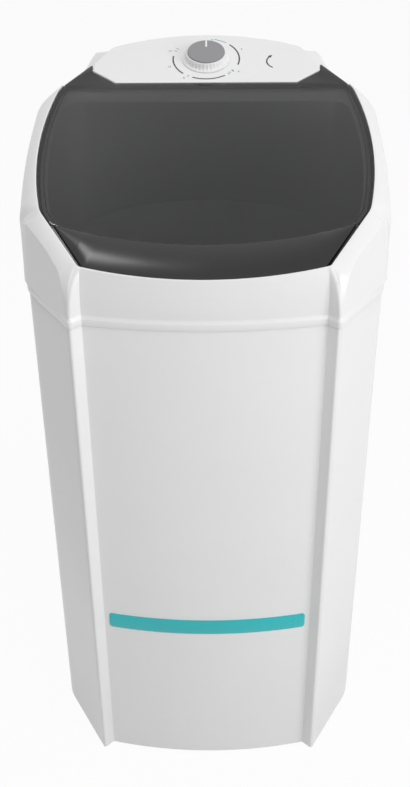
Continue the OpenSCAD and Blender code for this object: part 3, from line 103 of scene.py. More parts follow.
def cross2(p, q):
    return p[0] * q[1] - p[1] * q[0]


def meet(p, a, q, b):
    """Where the line through p at angle a crosses the line through q at angle b."""
    p, q = Vector(p), Vector(q)
    return p + vec(a) * (cross2(q - p, vec(b)) / cross2(vec(a), vec(b)))


def hit(p, a, c, r, side):
    """Where the line through p at angle a crosses the circle about c; side picks the crossing."""
    p, c = Vector(p), Vector(c)
    b = (p - c).dot(vec(a))
    q = (p - c).length_squared - r * r
    return p + vec(a) * (-b + side * math.sqrt(b * b - q))


def bend(p, a, b, r, n):
    """n points that round the corner at p, from angle a to angle b, with radius r."""
    c = Vector(p) - vec(a) * r * math.tan(math.radians((b - a) / 2)) - outward(a) * r
    return [c + outward(a + (b - a) * i / (n - 1)) * r for i in range(n)]


def between(p, q, n):
    return [Vector(p).lerp(Vector(q), i / (n + 1)) for i in range(1, n + 1)]


def mirror_y(v):
    return [Vector((p[0], -p[1])) for p in reversed(v[:-1])]


def mirror_x(v):
    return [Vector((-p[0], p[1])) for p in reversed(v)]


def whole(half):
    """A closed outline from its right half, which runs from the front centre to the rear centre."""
    return list(half) + mirror_x(half[1:-1])


def angle_of(v):
    return math.degrees(math.atan2(v[1], v[0]))


SIDE_X = CAB_W / 2 - SIDE_BULGE
FRONT_C = Vector((0, -CAB_D / 2 + FRONT_R))
PANEL_EDGE = hit((PANEL_HALF, 0), -90, FRONT_C, FRONT_R, 1)
RIDGE = PANEL_EDGE + Vector((POST_OUT, -POST_FWD))
POST_ANGLE = angle_of((POST_OUT, -POST_FWD))


def cab_quarter(d):
    """The cabinet's outline, d outside it, from the front centre to the middle of the side."""
    post = PANEL_EDGE + d * outward(POST_ANGLE)
    flat = RIDGE + d * outward(FLAT_ANGLE)
    s = hit(post, POST_ANGLE, FRONT_C, FRONT_R + d, 1)
    crest = meet(post, POST_ANGLE, flat, FLAT_ANGLE)
    ridge = bend(crest, POST_ANGLE, FLAT_ANGLE, max(RIDGE_R + d, 0.6), N_RIDGE)
    turn = meet(flat, FLAT_ANGLE, (SIDE_X + d, 0), 90)
    corner = bend(turn, FLAT_ANGLE, 90, CORNER_R + d, N_CORNER)
    a = math.degrees(math.asin(s[0] / (FRONT_R + d)))
    y = corner[-1][1]
    side = []
    for i in range(1, N_SIDE + 1):
        v = 1 - i / N_SIDE
        side.append(Vector((SIDE_X + d + SIDE_BULGE * (1 - v * v), y * v)))
    return ([FRONT_C + (FRONT_R + d) * outward(a * i / N_ARC) for i in range(N_ARC)]
            + [s] + ridge + between(ridge[-1], corner[0], N_FLAT) + corner + side)


def cab(d):
    q = cab_quarter(d)
    return whole(q + mirror_y(q))


I_RIDGE = N_ARC + N_RIDGE
I_HALF = 2 * (N_ARC + 1 + N_RIDGE + N_FLAT + N_CORNER + N_SIDE) - 2
N_RING = 2 * I_HALF


def top_z(y):
    """Height of the lid's slope."""
    return LID_FRONT_Z + math.tan(math.radians(LID_TILT)) * (y - LID_FRONT_Y)


LID_FRONT_C = Vector((0, LID_FRONT_Y + LID_FRONT_R))
LID_CORNER = hit((LID_FRONT_HALF, 0), -90, LID_FRONT_C, LID_FRONT_R, 1)
LID_SHOULDER = Vector((LID_SIDE_X, -LID_SIDE_FRONT))
LID_REAR_SHOULDER = Vector((LID_SIDE_X, LID_SIDE_REAR))
SIDE_SAG = LID_HALF_W - LID_SIDE_X
SIDE_HALF = (LID_SIDE_REAR + LID_SIDE_FRONT) / 2
LID_SIDE_R = (SIDE_HALF ** 2 + SIDE_SAG ** 2) / (2 * SIDE_SAG)
LID_SIDE_C = Vector((LID_HALF_W - LID_SIDE_R, (LID_SIDE_REAR - LID_SIDE_FRONT) / 2))
BACK_Y = CAB_D / 2 + SKIRT_OUT
BACK_C = Vector((0, BACK_Y - BACK_R))
BACK_CORNER = hit((BACK_HALF, 0), 90, BACK_C, BACK_R, 1)
CHAMFER_ANGLE = angle_of(LID_SHOULDER - LID_CORNER)
REAR_ANGLE = angle_of(BACK_CORNER - LID_REAR_SHOULDER)


def tangent(p, c):
    return angle_of(Vector(p) - c) + 90


def top_front(d):
    """The lid's outline, d outside it, from the front centre to the middle of the side."""
    line = LID_CORNER + d * outward(CHAMFER_ANGLE)
    c1 = hit(line, CHAMFER_ANGLE, LID_FRONT_C, LID_FRONT_R + d, -1)
    c2 = hit(line, CHAMFER_ANGLE, LID_SIDE_C, LID_SIDE_R + d, 1)
    b1 = bend(c1, tangent(c1, LID_FRONT_C), CHAMFER_ANGLE, max(LID_CORNER_R + d, 1), N_RIDGE + 1)
    b2 = bend(c2, CHAMFER_ANGLE, tangent(c2, LID_SIDE_C), LID_SHOULDER_R + d, N_CORNER)
    a = math.degrees(math.asin(b1[0][0] / (LID_FRONT_R + d)))
    e = angle_of(b2[-1] - LID_SIDE_C)
    return ([LID_FRONT_C + (LID_FRONT_R + d) * outward(a * i / N_ARC) for i in range(N_ARC)]
            + b1 + between(b1[-1], b2[0], N_FLAT) + b2
            + [LID_SIDE_C + (LID_SIDE_R + d) * vec(e * (1 - i / N_SIDE))
               for i in range(1, N_SIDE + 1)])


EAR_TIP = meet(LID_REAR_SHOULDER, REAR_ANGLE, (0, HINGE_Y + 6), 0)


def top_rear(d):
    """The top's outline from there round the ear to the rear centre, d outside it."""
    line = LID_REAR_SHOULDER + d * outward(REAR_ANGLE)
    c2 = hit(line, REAR_ANGLE + 180, LID_SIDE_C, LID_SIDE_R + d, 1)
    c1 = hit(line, REAR_ANGLE, BACK_C, BACK_R + d, 1)
    b2 = bend(c2, tangent(c2, LID_SIDE_C), REAR_ANGLE, LID_SHOULDER_R + d, N_CORNER)
    b1 = bend(c1, REAR_ANGLE, tangent(c1, BACK_C), max(BACK_CORNER_R + d, 1), N_RIDGE)
    e = angle_of(b2[0] - LID_SIDE_C)
    split = EAR_TIP + d * outward(REAR_ANGLE)
    a = angle_of(b1[-1] - BACK_C)
    return ([LID_SIDE_C + (LID_SIDE_R + d) * vec(e * i / N_SIDE) for i in range(1, N_SIDE)]
            + b2 + between(b2[-1], split, N_FLAT) + [split.lerp(b1[0], 0.25)] + b1
            + [BACK_C + (BACK_R + d) * vec(a + (90 - a) * i / N_ARC) for i in range(1, N_ARC + 1)])


def top_half(d):
    return top_front(d) + top_rear(d)


def top(d):
    return whole(top_half(d))


I_REAR_FLAT = len(top_front(0)) + N_SIDE - 1 + N_CORNER
SEAT_Y = LID_REAR_Y + 1.2
PLATFORM_END = Vector((EAR_IN - 1, HINGE_Y + 1))
PLATFORM_NOTCH = Vector((LID_REAR_HALF - 2, SEAT_Y))


def lid_hole(d):
    """The recess that the lid lies in, which stops at the platform of the control panel."""
    f = top_half(d)
    return whole(f[:I_REAR_FLAT + N_FLAT]
                 + [PLATFORM_END.lerp(PLATFORM_NOTCH, i / N_RIDGE) for i in range(N_RIDGE + 1)]
                 + [Vector((PLATFORM_NOTCH[0] * (1 - i / N_ARC), SEAT_Y))
                    for i in range(1, N_ARC + 1)])


def mouth(d):
    """The loading mouth inside the lid's seat."""
    f = top_front(d - SEAT_W)
    y = MOUTH_REAR + d
    r = LID_SIDE_R + d - SEAT_W
    c = hit((LID_SIDE_X, y), 0, LID_SIDE_C, r, 1)
    b = bend(c, tangent(c, LID_SIDE_C), 180, MOUTH_CORNER_R, N_CORNER)
    e = angle_of(b[0] - LID_SIDE_C)
    n = N_FLAT + N_RIDGE + 1 + N_ARC
    return whole(f + [LID_SIDE_C + r * vec(e * i / N_SIDE) for i in range(1, N_SIDE)] + b
                 + [Vector((b[-1][0] * (1 - i / n), y)) for i in range(1, n + 1)])


# Half an outline from the front centre: 0 front arc, 1 ridge, 2 flat, 3 shoulder, 4 side,
# 5 rear shoulder, 6 rear flat, 7 rear ridge, 8 rear arc
STRETCHES = [N_ARC, N_RIDGE + 1, N_FLAT, N_CORNER, 2 * N_SIDE - 1,
             N_CORNER, N_FLAT, N_RIDGE + 1, N_ARC]


def smooth_step(w):
    return w * w * (3 - 2 * w)


def along(keys):
    """A value for each point of the outline, from (stretch + fraction, value) pairs."""
    half = []
    for k, n in enumerate(STRETCHES):
        for i in range(n):
            u = k + i / n
            v = keys[-1][1]
            for (u0, v0), (u1, v1) in zip(keys, keys[1:]):
                if u0 <= u < u1:
                    v = v0 + (v1 - v0) * smooth_step((u - u0) / (u1 - u0))
                    break
                if u < u0:
                    v = v0
                    break
            half.append(v)
    half = half[:I_HALF + 1]
    return half + list(reversed(half[1:-1]))


def level(loop, z):
    return [Vector((p[0], p[1], z)) for p in loop]


def for_each(value, loop):
    return value if hasattr(value, "__len__") else [value] * len(loop)


def on_slope(loop, drops):
    return [Vector((p[0], p[1], top_z(p[1]) - d)) for p, d in zip(loop, for_each(drops, loop))]


def round_ring(loop, r, z):
    return [Vector((r * p[0] / p.length, r * p[1] / p.length, z)) for p in loop]


def mixed(v, w, k):
    return [p.lerp(q, t) for p, q, t in zip(v, w, for_each(k, v))]


# Mesh helpers

def solid(name, verts, faces):
    """An object of faces given in millimetres, with doubles merged and normals outward."""
    mesh = bpy.data.meshes.new(name)
    mesh.from_pydata([tuple(c * MM for c in v) for v in verts], [], faces)
    mesh.validate()
    ob = bpy.data.objects.new(name, mesh)
    bpy.context.scene.collection.objects.link(ob)
    bm = bmesh.new()
    bm.from_mesh(mesh)
    bmesh.ops.remove_doubles(bm, verts=bm.verts, dist=1e-6)
    bmesh.ops.recalc_face_normals(bm, faces=bm.faces)
    bm.to_mesh(mesh)
    bm.free()
    return ob


def apply_modifiers(ob):
    evaluated = ob.evaluated_get(bpy.context.evaluated_depsgraph_get())
    done = bpy.data.meshes.new_from_object(evaluated)
    ob.modifiers.clear()
    ob.data = done


def piece(name, part, body, slot, replaces=(), material=None, bevel=0.0, smooth=40, cut=None):
    """A finished piece: cut is taken out of it, bevel is in millimetres, smooth in degrees."""
    ob = solid(name, *part)
    if cut:
        tool = solid("cutter", *cut)
        m = ob.modifiers.new("cut", "BOOLEAN")
        m.operation, m.solver, m.object = "DIFFERENCE", "EXACT", tool
        apply_modifiers(ob)
        bpy.data.objects.remove(tool)
    if bevel:
        m = ob.modifiers.new("edge", "BEVEL")
        m.width = bevel * MM
        m.segments = 2
        m.limit_method = "ANGLE"
        m.angle_limit = math.radians(BEVEL_FROM)
        m.harden_normals = False
        apply_modifiers(ob)
    mesh = ob.data
    mesh.shade_smooth()
    mesh.set_sharp_from_angle(angle=math.radians(smooth))
    mesh.materials.clear()
    mesh.materials.append(material or MATERIALS[slot])
    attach(ob, body)
    if replaces:
        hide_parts(*replaces)


def ring_skin(rings, close=True):
    """Faces between rings of equal count, and from the last ring back to the first."""
    n = len(rings[0])
    m = len(rings)
    verts = [p for r in rings for p in r]
    faces = []
    for j in range(m if close else m - 1):
        k = (j + 1) % m
        for i in range(n):
            faces.append((j * n + i, j * n + (i + 1) % n, k * n + (i + 1) % n, k * n + i))
    return verts, faces


def prism(low, high):
    """Two loops with the same number of points, joined by a wall and closed at both ends."""
    n = len(low)
    faces = [tuple(reversed(range(n))), tuple(range(n, 2 * n))]
    faces += [(i, (i + 1) % n, n + (i + 1) % n, n + i) for i in range(n)]
    return list(low) + list(high), faces


def upright(loop, z0, z1):
    return prism(level(loop, z0), level(loop, z1))


def sloped(loop, drop_top, drop_low):
    return prism(on_slope(loop, drop_low), on_slope(loop, drop_top))


def merge(*parts):
    verts, faces = [], []
    for v, f in parts:
        k = len(verts)
        verts += list(v)
        faces += [tuple(i + k for i in g) for g in f]
    return verts, faces


def around(i, n):
    a = 2 * math.pi * i / n
    return math.cos(a), math.sin(a)


def lathe(profile, n):
    turn = [around(i, n) for i in range(n)]
    verts = [Vector((r * c, r * s, z)) for r, z in profile for c, s in turn]
    m = len(profile)
    faces = [(j * n + i, j * n + (i + 1) % n, (j + 1) * n + (i + 1) % n, (j + 1) * n + i)
             for j in range(m - 1) for i in range(n)]
    return verts, faces


# Materials

COAT_ROUGH, BROAD_SCALE, BUMP_DEPTH = 0.08, 9.0, 0.0004
NOISE_LOW, NOISE_HIGH = 0.3, 0.7


def surface(name, color, rough=0.35, grain=900.0, bump=0.02, vary=0.03, metallic=0.0, coat=0.0,
            spread=0.06, ior=1.46, alpha=1.0, stretch=None):
    """A finish from noise: fine grain in the bump, patchy roughness, a slight drift of colour."""
    m = bpy.data.materials.new(name)
    m.use_nodes = True
    nodes, links = m.node_tree.nodes, m.node_tree.links
    b = nodes["Principled BSDF"]
    b.inputs["Metallic"].default_value = metallic
    b.inputs["IOR"].default_value = ior
    b.inputs["Coat Weight"].default_value = coat
    b.inputs["Coat Roughness"].default_value = COAT_ROUGH
    b.inputs["Alpha"].default_value = alpha
    coord = nodes.new("ShaderNodeTexCoord")
    source = coord.outputs["Object"]
    if stretch:
        mapping = nodes.new("ShaderNodeMapping")
        mapping.inputs["Scale"].default_value = stretch
        links.new(source, mapping.inputs["Vector"])
        source = mapping.outputs["Vector"]
    fine = nodes.new("ShaderNodeTexNoise")
    fine.inputs["Scale"].default_value = grain
    fine.inputs["Detail"].default_value = 3
    broad = nodes.new("ShaderNodeTexNoise")
    broad.inputs["Scale"].default_value = BROAD_SCALE
    broad.inputs["Detail"].default_value = 4
    links.new(source, fine.inputs["Vector"])
    links.new(source, broad.inputs["Vector"])
    ramp = nodes.new("ShaderNodeValToRGB")
    low, high = ramp.color_ramp.elements
    low.position, high.position = NOISE_LOW, NOISE_HIGH
    low.color = [max(0.0, c * (1 - vary)) for c in color] + [1]
    high.color = [min(1.0, c * (1 + vary)) for c in color] + [1]
    links.new(broad.outputs["Fac"], ramp.inputs["Fac"])
    links.new(ramp.outputs["Color"], b.inputs["Base Color"])
    span = nodes.new("ShaderNodeMapRange")
    span.inputs["From Min"].default_value = NOISE_LOW
    span.inputs["From Max"].default_value = NOISE_HIGH
    span.inputs["To Min"].default_value = max(0.02, rough - spread)
    span.inputs["To Max"].default_value = rough + spread
    links.new(broad.outputs["Fac"], span.inputs["Value"])
    links.new(span.outputs["Result"], b.inputs["Roughness"])
    bumps = nodes.new("ShaderNodeBump")
    bumps.inputs["Strength"].default_value = bump
    bumps.inputs["Distance"].default_value = BUMP_DEPTH
    links.new(fine.outputs["Fac"], bumps.inputs["Height"])
    links.new(bumps.outputs["Normal"], b.inputs["Normal"])
    return m


FINISHES = {
    "white_casing": dict(color=(0.80, 0.80, 0.80), rough=0.36, coat=0.1, vary=0.008, spread=0.03),
    "white_top": dict(color=(0.82, 0.82, 0.82), rough=0.32, coat=0.15, vary=0.006, spread=0.03),
    "smoked_lid": dict(color=(0.012, 0.012, 0.013), rough=0.05, spread=0.015, grain=24, vary=0.05,
                       alpha=0.53, ior=1.47),
    "dark_lip": dict(color=(0.007, 0.007, 0.008), rough=0.24, spread=0.03, grain=30, ior=1.45),
    "teal_stripe": dict(color=(0.006, 0.47, 0.50), rough=0.25, coat=0.3, vary=0.05),
    "knob_white": dict(color=(0.80, 0.80, 0.80), rough=0.38),
    "knob_grey": dict(color=(0.26, 0.26, 0.27), rough=0.45, grain=1600, bump=0.06),
    "knob_mark": dict(color=(0.85, 0.85, 0.85), rough=0.4),
    "tub_plastic": dict(color=(0.80, 0.81, 0.82), rough=0.3, coat=0.1),
    "agitator_plastic": dict(color=(0.62, 0.68, 0.74), rough=0.3, coat=0.1),
    "filter_plastic": dict(color=(0.06, 0.27, 0.45), rough=0.45, grain=1500, bump=0.1),
    "grey_plastic": dict(color=(0.42, 0.42, 0.43), rough=0.5, grain=1400, bump=0.08),
    "black_plastic": dict(color=(0.022, 0.022, 0.023), rough=0.5, grain=1400, bump=0.08),
    "timer_plastic": dict(color=(0.62, 0.56, 0.42), rough=0.5, grain=1200, bump=0.05),
    "black_rubber": dict(color=(0.018, 0.018, 0.018), rough=0.75, grain=1800, bump=0.15),
    "screw_steel": dict(color=(0.55, 0.56, 0.57), rough=0.32, metallic=1.0, grain=1500, bump=0.05),
    "shaft_steel": dict(color=(0.60, 0.61, 0.62), rough=0.2, metallic=1.0, grain=400, bump=0.04,
                        stretch=(1, 1, 14)),
    "plate_steel": dict(color=(0.50, 0.51, 0.52), rough=0.42, metallic=1.0, grain=120, bump=0.04,
                        vary=0.12),
    "stator_iron": dict(color=(0.07, 0.08, 0.10), rough=0.42, grain=400, bump=0.15,
                        stretch=(1, 1, 8)),
    "cast_alloy": dict(color=(0.52, 0.53, 0.54), rough=0.48, metallic=1.0, grain=700, bump=0.2),
    "bronze": dict(color=(0.47, 0.31, 0.13), rough=0.38, metallic=1.0, grain=900, bump=0.08),
}
MATERIALS = {name: surface(name, **finish) for name, finish in FINISHES.items()}
for part in frame["record"]["subparts"]:
    node = frame["nodes"][part["node"]]
    node.data.materials.clear()
    node.data.materials.append(MATERIALS[part["material_slot"]])


# Cabinet panels

def panel_strip(lo, hi):
    """The plan of a panel between two points of the cabinet's outline."""
    outer, inner = cab(0), cab(-WALL)
    return ([outer[k % N_RING] for k in range(lo, hi + 1)]
            + [inner[k % N_RING] for k in range(hi, lo - 1, -1)])


def gapped(loop):
    """A panel's plan with its two end walls pulled back by the shadow gap."""
    n = len(loop)
    half = n // 2
    out = [Vector(p) for p in loop]
    for a, b in ((0, 1), (half - 1, half - 2), (half, half + 1), (n - 1, n - 2)):
        out[a] = out[a] + (out[b] - out[a]).normalized() * JOINT_GAP
    return out


side_loop = gapped(panel_strip(I_RIDGE, I_HALF - I_RIDGE))
for name, node, loop in (("front_skin", "front_panel", panel_strip(-I_RIDGE, I_RIDGE)),
                         ("right_skin", "right_side_panel", side_loop),
                         ("left_skin", "left_side_panel", mirror_x(side_loop))):
    piece(name, upright(loop, CAB_BOTTOM, CAB_TOP), "cabinet", "white_casing", [node],
          bevel=0.5, smooth=30)


# Stripe

def stripe_cut(x):
    """How far the stripe's rounded corner lies inside its edge at x."""
    inner = STRIPE_R - (STRIPE_HALF - abs(x))
    return STRIPE_R - math.sqrt(max(0, STRIPE_R ** 2 - inner ** 2)) if inner > 0 else 0


def stripe():
    """A thin band on the front panel's arc, with rounded corners."""
    steps, lift = 80, 0.05
    corner = [-STRIPE_HALF + STRIPE_R * (1 - math.cos(math.radians(a))) for a in range(0, 90, 15)]
    xs = [-STRIPE_HALF + 2 * STRIPE_HALF * i / steps for i in range(steps + 1)]
    xs = sorted(set(round(v, 4) for v in xs + corner + [-v for v in corner]))
    verts, faces = [], []
    for r in (FRONT_R + lift, FRONT_R + lift + STRIPE_T):
        for x in xs:
            y = FRONT_C[1] - math.sqrt(r * r - x * x)
            for z in (STRIPE_Z + stripe_cut(x), STRIPE_Z + STRIPE_H - stripe_cut(x)):
                verts.append(Vector((x, y, z)))
    k = len(xs)
    for i in range(k - 1):
        a, b = 2 * i, 2 * i + 2
        faces.append((2 * k + a, 2 * k + b, 2 * k + b + 1, 2 * k + a + 1))
        faces.append((a, a + 1, b + 1, b))
        faces.append((a, b, 2 * k + b, 2 * k + a))
        faces.append((a + 1, 2 * k + a + 1, 2 * k + b + 1, b + 1))
    faces.append((0, 2 * k, 2 * k + 1, 1))
    faces.append((2 * k - 2, 2 * k - 1, 4 * k - 1, 4 * k - 2))
    return verts, faces


piece("stripe_skin", stripe(), "cabinet", "teal_stripe", ["front_stripe"], bevel=0.25, smooth=30)


# Top collar

LEDGE_Z = CAB_TOP + 2.0
EDGE_LIFT = 0.4
SEAT_DROP = (LID_RIM + 0.3) / math.cos(math.radians(LID_TILT))
FLANK_DROP = SEAT_DROP - 1.0

# Round the collar, see STRETCHES: how far the crease lies below the lid's slope, how far the wall
# is drawn in under it, and the control point of the shoulder's curve: its height above the slope
# and how far it leans from the crease towards the rim
CREASE_DROP = [(0, 46), (1, 46), (1.9, 50), (1.99, 34), (2.06, 12), (2.2, 8), (2.6, 8), (3, 11),
               (3.3, 20), (3.6, 34), (4, 30), (4.6, 22), (5.2, 23), (5.6, 25), (6, 31), (6.7, 27),
               (7, 15), (8, 20), (9, 24)]
WALL_DRAWN = [(0, 0), (1.95, 0.1), (2.2, 0.5), (2.5, 0.65), (3, 0.65), (3.6, 0.3), (4, 0.1),
              (4.3, 0)]
KNEE_LIFT = [(0, 20), (1, 20), (1.6, 14), (1.95, 6), (2.1, 2), (2.6, 1.5), (3, 3), (3.3, 6),
             (3.6, 9), (4, 6), (5, 7), (5.6, 12), (6, 17), (6.7, 17), (7, 13), (8, 9), (9, 8)]
KNEE_LEAN = [(0, 0.1), (1, 0.1), (1.9, 0.1), (2.1, 0.4), (2.6, 0.45), (3.2, 0.42), (3.6, 0.3),
             (4, 0.12), (5, 0.15), (5.6, 0.3), (6, 0.42), (6.7, 0.35), (7, 0.12), (9, 0.2)]
# The rim's depth below the slope, which falls at the ears and on to the platform
RIM_DROP = [(0, -EDGE_LIFT), (5.6, -EDGE_LIFT), (6.02, FLANK_DROP), (6.98, FLANK_DROP),
            (7.05, PLATFORM_DROP), (9, PLATFORM_DROP)]
# Where the rim loses its width, and where the underside follows the lid rather than the wall
RIM_NARROWS = [(0, 0), (6.9, 0), (7.0, 1), (9, 1)]
UNDERSIDE = [(0, 0), (1, 0.3), (2.2, 1), (6, 1), (7, 0.8), (8, 0.1), (9, 0)]
INSIDE_MOST = 44
DRAW_DEPTH = 10
CURVE_STEPS = (0.14, 0.28, 0.42, 0.56, 0.7, 0.84, 0.94)
SKIRT_NEAR_Y, SKIRT_NEAR_SPAN = 170, 60


def swell(d):
    """The collar's wall, d outside it: near the cabinet at the posts, swelling to the sides."""
    ring = []
    for p, q in zip(cab(0.8 + d), cab(SHOULDER_OUT + d)):
        w = min(1.0, max(0.0, (abs(p[0]) - RIDGE[0]) / (SIDE_X - RIDGE[0])))
        ring.append(p.lerp(q, w))
    return ring


def collar():
    """One closed skin: up the wall, over the shoulder, into the recess, to the tub, and back."""
    crease_drop, drawn, rim_drop = along(CREASE_DROP), along(WALL_DRAWN), along(RIM_DROP)
    crease = mixed(swell(-0.2), swell(-0.2 - DRAW_DEPTH), drawn)
    rim_out = mixed(top(LID_GAP + RIM_W), top(0), along(RIM_NARROWS))
    low = on_slope(crease, crease_drop)
    high = on_slope(rim_out, rim_drop)
    knee = on_slope(mixed(crease, rim_out, along(KNEE_LEAN)), along(KNEE_LIFT))
    shoulder = [[a * (1 - t) ** 2 + b * 2 * t * (1 - t) + c * t * t
                 for a, b, c in zip(low, knee, high)]
                for t in CURVE_STEPS]
    hole, opening = lid_hole(LID_GAP), mouth(0)
    inside = mixed(cab(-COLLAR_T), cab(-COLLAR_T - DRAW_DEPTH), drawn)
    floor_drop = SEAT_DROP + COLLAR_T
    # The skirt's lower edge lies close to the front panel and stands out at the sides and rear
    near = [smooth_step(min(1.0, max(0.0, (-p[1] - SKIRT_NEAR_Y) / SKIRT_NEAR_SPAN)))
            for p in cab(0)]
    rings = [
        level(mixed(cab(SKIRT_OUT - 0.5), cab(0.7), near), CAB_TOP - SKIRT_DROP),
        level(mixed(cab(SKIRT_OUT), cab(1.1), near), CAB_TOP - SKIRT_DROP + 1.0),
        level(cab(SKIRT_OUT), LEDGE_Z - 3.2),
        level(cab(SKIRT_OUT - 0.5), LEDGE_Z - 2.2),
        level(swell(-1.1), LEDGE_Z + 1.2),
        level(swell(-1.2), LEDGE_Z + 2.6),
        low, *shoulder, high,
        on_slope(mixed(rim_out, hole, 0.5), [d - 0.25 for d in rim_drop]),
        on_slope(hole, rim_drop),
        on_slope(hole, [d + 0.6 for d in rim_drop]),
        on_slope(hole, SEAT_DROP + 0.02),
        on_slope(mouth(0.6), SEAT_DROP),
        on_slope(opening, SEAT_DROP + 0.6),
        mixed(on_slope(opening, SEAT_DROP + 0.6), round_ring(opening, TUB_TOP_R, CAB_TOP), 0.5),
        round_ring(opening, TUB_TOP_R, CAB_TOP),
        round_ring(opening, TUB_FLANGE_R, CAB_TOP),
        round_ring(opening, TUB_FLANGE_R, CAB_TOP + COLLAR_T),
        round_ring(opening, TUB_TOP_R + COLLAR_T, CAB_TOP + COLLAR_T),
        on_slope(mouth(COLLAR_T), floor_drop),
        on_slope(mixed(inside, top(LID_GAP + COLLAR_T), along(UNDERSIDE)), floor_drop + 1),
        on_slope(inside, [min(d, INSIDE_MOST) + 5 for d in crease_drop]),
        level(cab(-COLLAR_T - 0.3), CAB_TOP + 3.3),
        level(cab(-COLLAR_T - 0.3), CAB_TOP + 0.3),
        level(cab(0.3), CAB_TOP + 0.3),
        level(cab(0.3), CAB_TOP - SKIRT_DROP),
    ]
    return ring_skin(rings)


def ear_wells():
    """The slots that the lid's two hinge ears swing in, each a round bar along the hinge."""
    count = 48

    def circle(x):
        return [Vector((x, HINGE_Y + EAR_SWEEP_R * c, HINGE_Z + EAR_SWEEP_R * s))
                for c, s in (around(i, count) for i in range(count))]
    return merge(prism(circle(EAR_IN - 1.8), circle(EAR_IN + 20)),
                 prism(circle(-EAR_IN - 20), circle(-EAR_IN + 1.8)))


piece("collar_skin", collar(), "cabinet", "white_top", ["top_collar"], smooth=38, cut=ear_wells())


# Lid

LIP_C = Vector((0, -LIP_Y + LIP_ARC_R))
LIP_END = hit(LID_CORNER, CHAMFER_ANGLE, LIP_C, LIP_ARC_R, -1)


def lip_arc(end, count):
    """The arc between lip and glass, from the centre to the given end."""
    a = math.degrees(math.asin(end[0] / LIP_ARC_R))
    return [LIP_C + LIP_ARC_R * outward(a * i / count) for i in range(count + 1)]


def glass_outline(d):
    """The glass from the lip's end round the side, the ear and the rear edge, d outside it."""
    f = top_half(d)
    flank = EAR_TIP + d * outward(REAR_ANGLE)
    if d < -1:
        ear = [meet(flank, REAR_ANGLE, (0, HINGE_Y - EAR_L - 2), 0)]
    else:
        ear = [flank, Vector((EAR_IN, HINGE_Y + 5 + d)), Vector((EAR_IN, HINGE_Y - EAR_L))]
    return ([p for p in f[:I_REAR_FLAT] if p[1] > LIP_END[1] + 1] + ear
            + [Vector((LID_REAR_HALF, LID_REAR_Y + d)), Vector((0, LID_REAR_Y + d))])


def glass():
    """A plate with its upper edges rounded."""
    edge = [p + Vector((0, 0.15)) for p in lip_arc(LIP_END, N_LIP)]
    end = edge[-1]

    def loop(d):
        return whole(edge[:-1] + [end + d * outward(CHAMFER_ANGLE)] + glass_outline(d))
    n = len(loop(0))
    profile = ((0, LID_T), (0, 0.6), (-0.3, 0.15), (-0.8, 0.0))
    rings = [on_slope(loop(d), drop) for d, drop in profile]
    verts, faces = ring_skin(rings, close=False)
    faces += [tuple(reversed(range(n))), tuple(range(3 * n, 4 * n))]
    return verts, faces


def lid_rim():
    """The upright rim under the glass: along both sides and along the rear edge."""
    outer = [LIP_END] + glass_outline(0)[:-5]
    inner = [LIP_END - LID_WALL * outward(CHAMFER_ANGLE)] + glass_outline(-LID_WALL)[:-3]
    rear = [[Vector((LID_REAR_HALF, y)), Vector((-LID_REAR_HALF, y))]
            for y in (LID_REAR_Y, LID_REAR_Y - LID_WALL)]
    parts = []
    for a, b in ((outer, inner), (mirror_x(outer), mirror_x(inner)), rear):
        k = min(len(a), len(b))
        parts.append(sloped(a[:k] + list(reversed(b[:k])), LID_T - 0.4, LID_RIM))
    return merge(*parts)


def ears():
    """The two hinge ears at the glass's rear corners."""
    right = [EAR_TIP, Vector((EAR_IN, HINGE_Y + 5)), Vector((EAR_IN, HINGE_Y - EAR_L)),
             Vector((LID_REAR_HALF + 6, LID_REAR_Y + 3)),
             meet(EAR_TIP, REAR_ANGLE, (0, LID_REAR_Y - 4), 0)]
    return merge(*(sloped(loop, 0.7, LID_RIM) for loop in (right, mirror_x(right))))


def front_path(d):
    """The lid's front edge from the centre round its corner to the glass, d outside the chamfer."""
    line = LID_CORNER + d * outward(CHAMFER_ANGLE)
    turn = hit(line, CHAMFER_ANGLE, LID_FRONT_C, LID_FRONT_R, -1)
    end = hit(line, CHAMFER_ANGLE, LIP_C, LIP_ARC_R, -1)
    rounded = bend(turn, tangent(turn, LID_FRONT_C), CHAMFER_ANGLE, LID_CORNER_R, N_RIDGE + 1)
    a = math.degrees(math.asin(rounded[0][0] / LID_FRONT_R))
    arc_part = [LID_FRONT_C + LID_FRONT_R * outward(a * i / N_ARC) for i in range(N_ARC)]
    return arc_part + rounded + between(rounded[-1], end, N_FLAT) + [end]


def spaced(path, count):
    """count + 1 points at equal steps along a path."""
    lengths = [0.0]
    for p, q in zip(path, path[1:]):
        lengths.append(lengths[-1] + (q - p).length)
    points, i = [], 0
    for k in range(count + 1):
        s = lengths[-1] * k / count
        while i < len(path) - 2 and lengths[i + 1] < s:
            i += 1
        part = (s - lengths[i]) / (lengths[i + 1] - lengths[i])
        points.append(path[i].lerp(path[i + 1], min(1.0, part)))
    return points


def both_sides(right):
    """An open path from its right half."""
    return mirror_x(right[1:]) + right


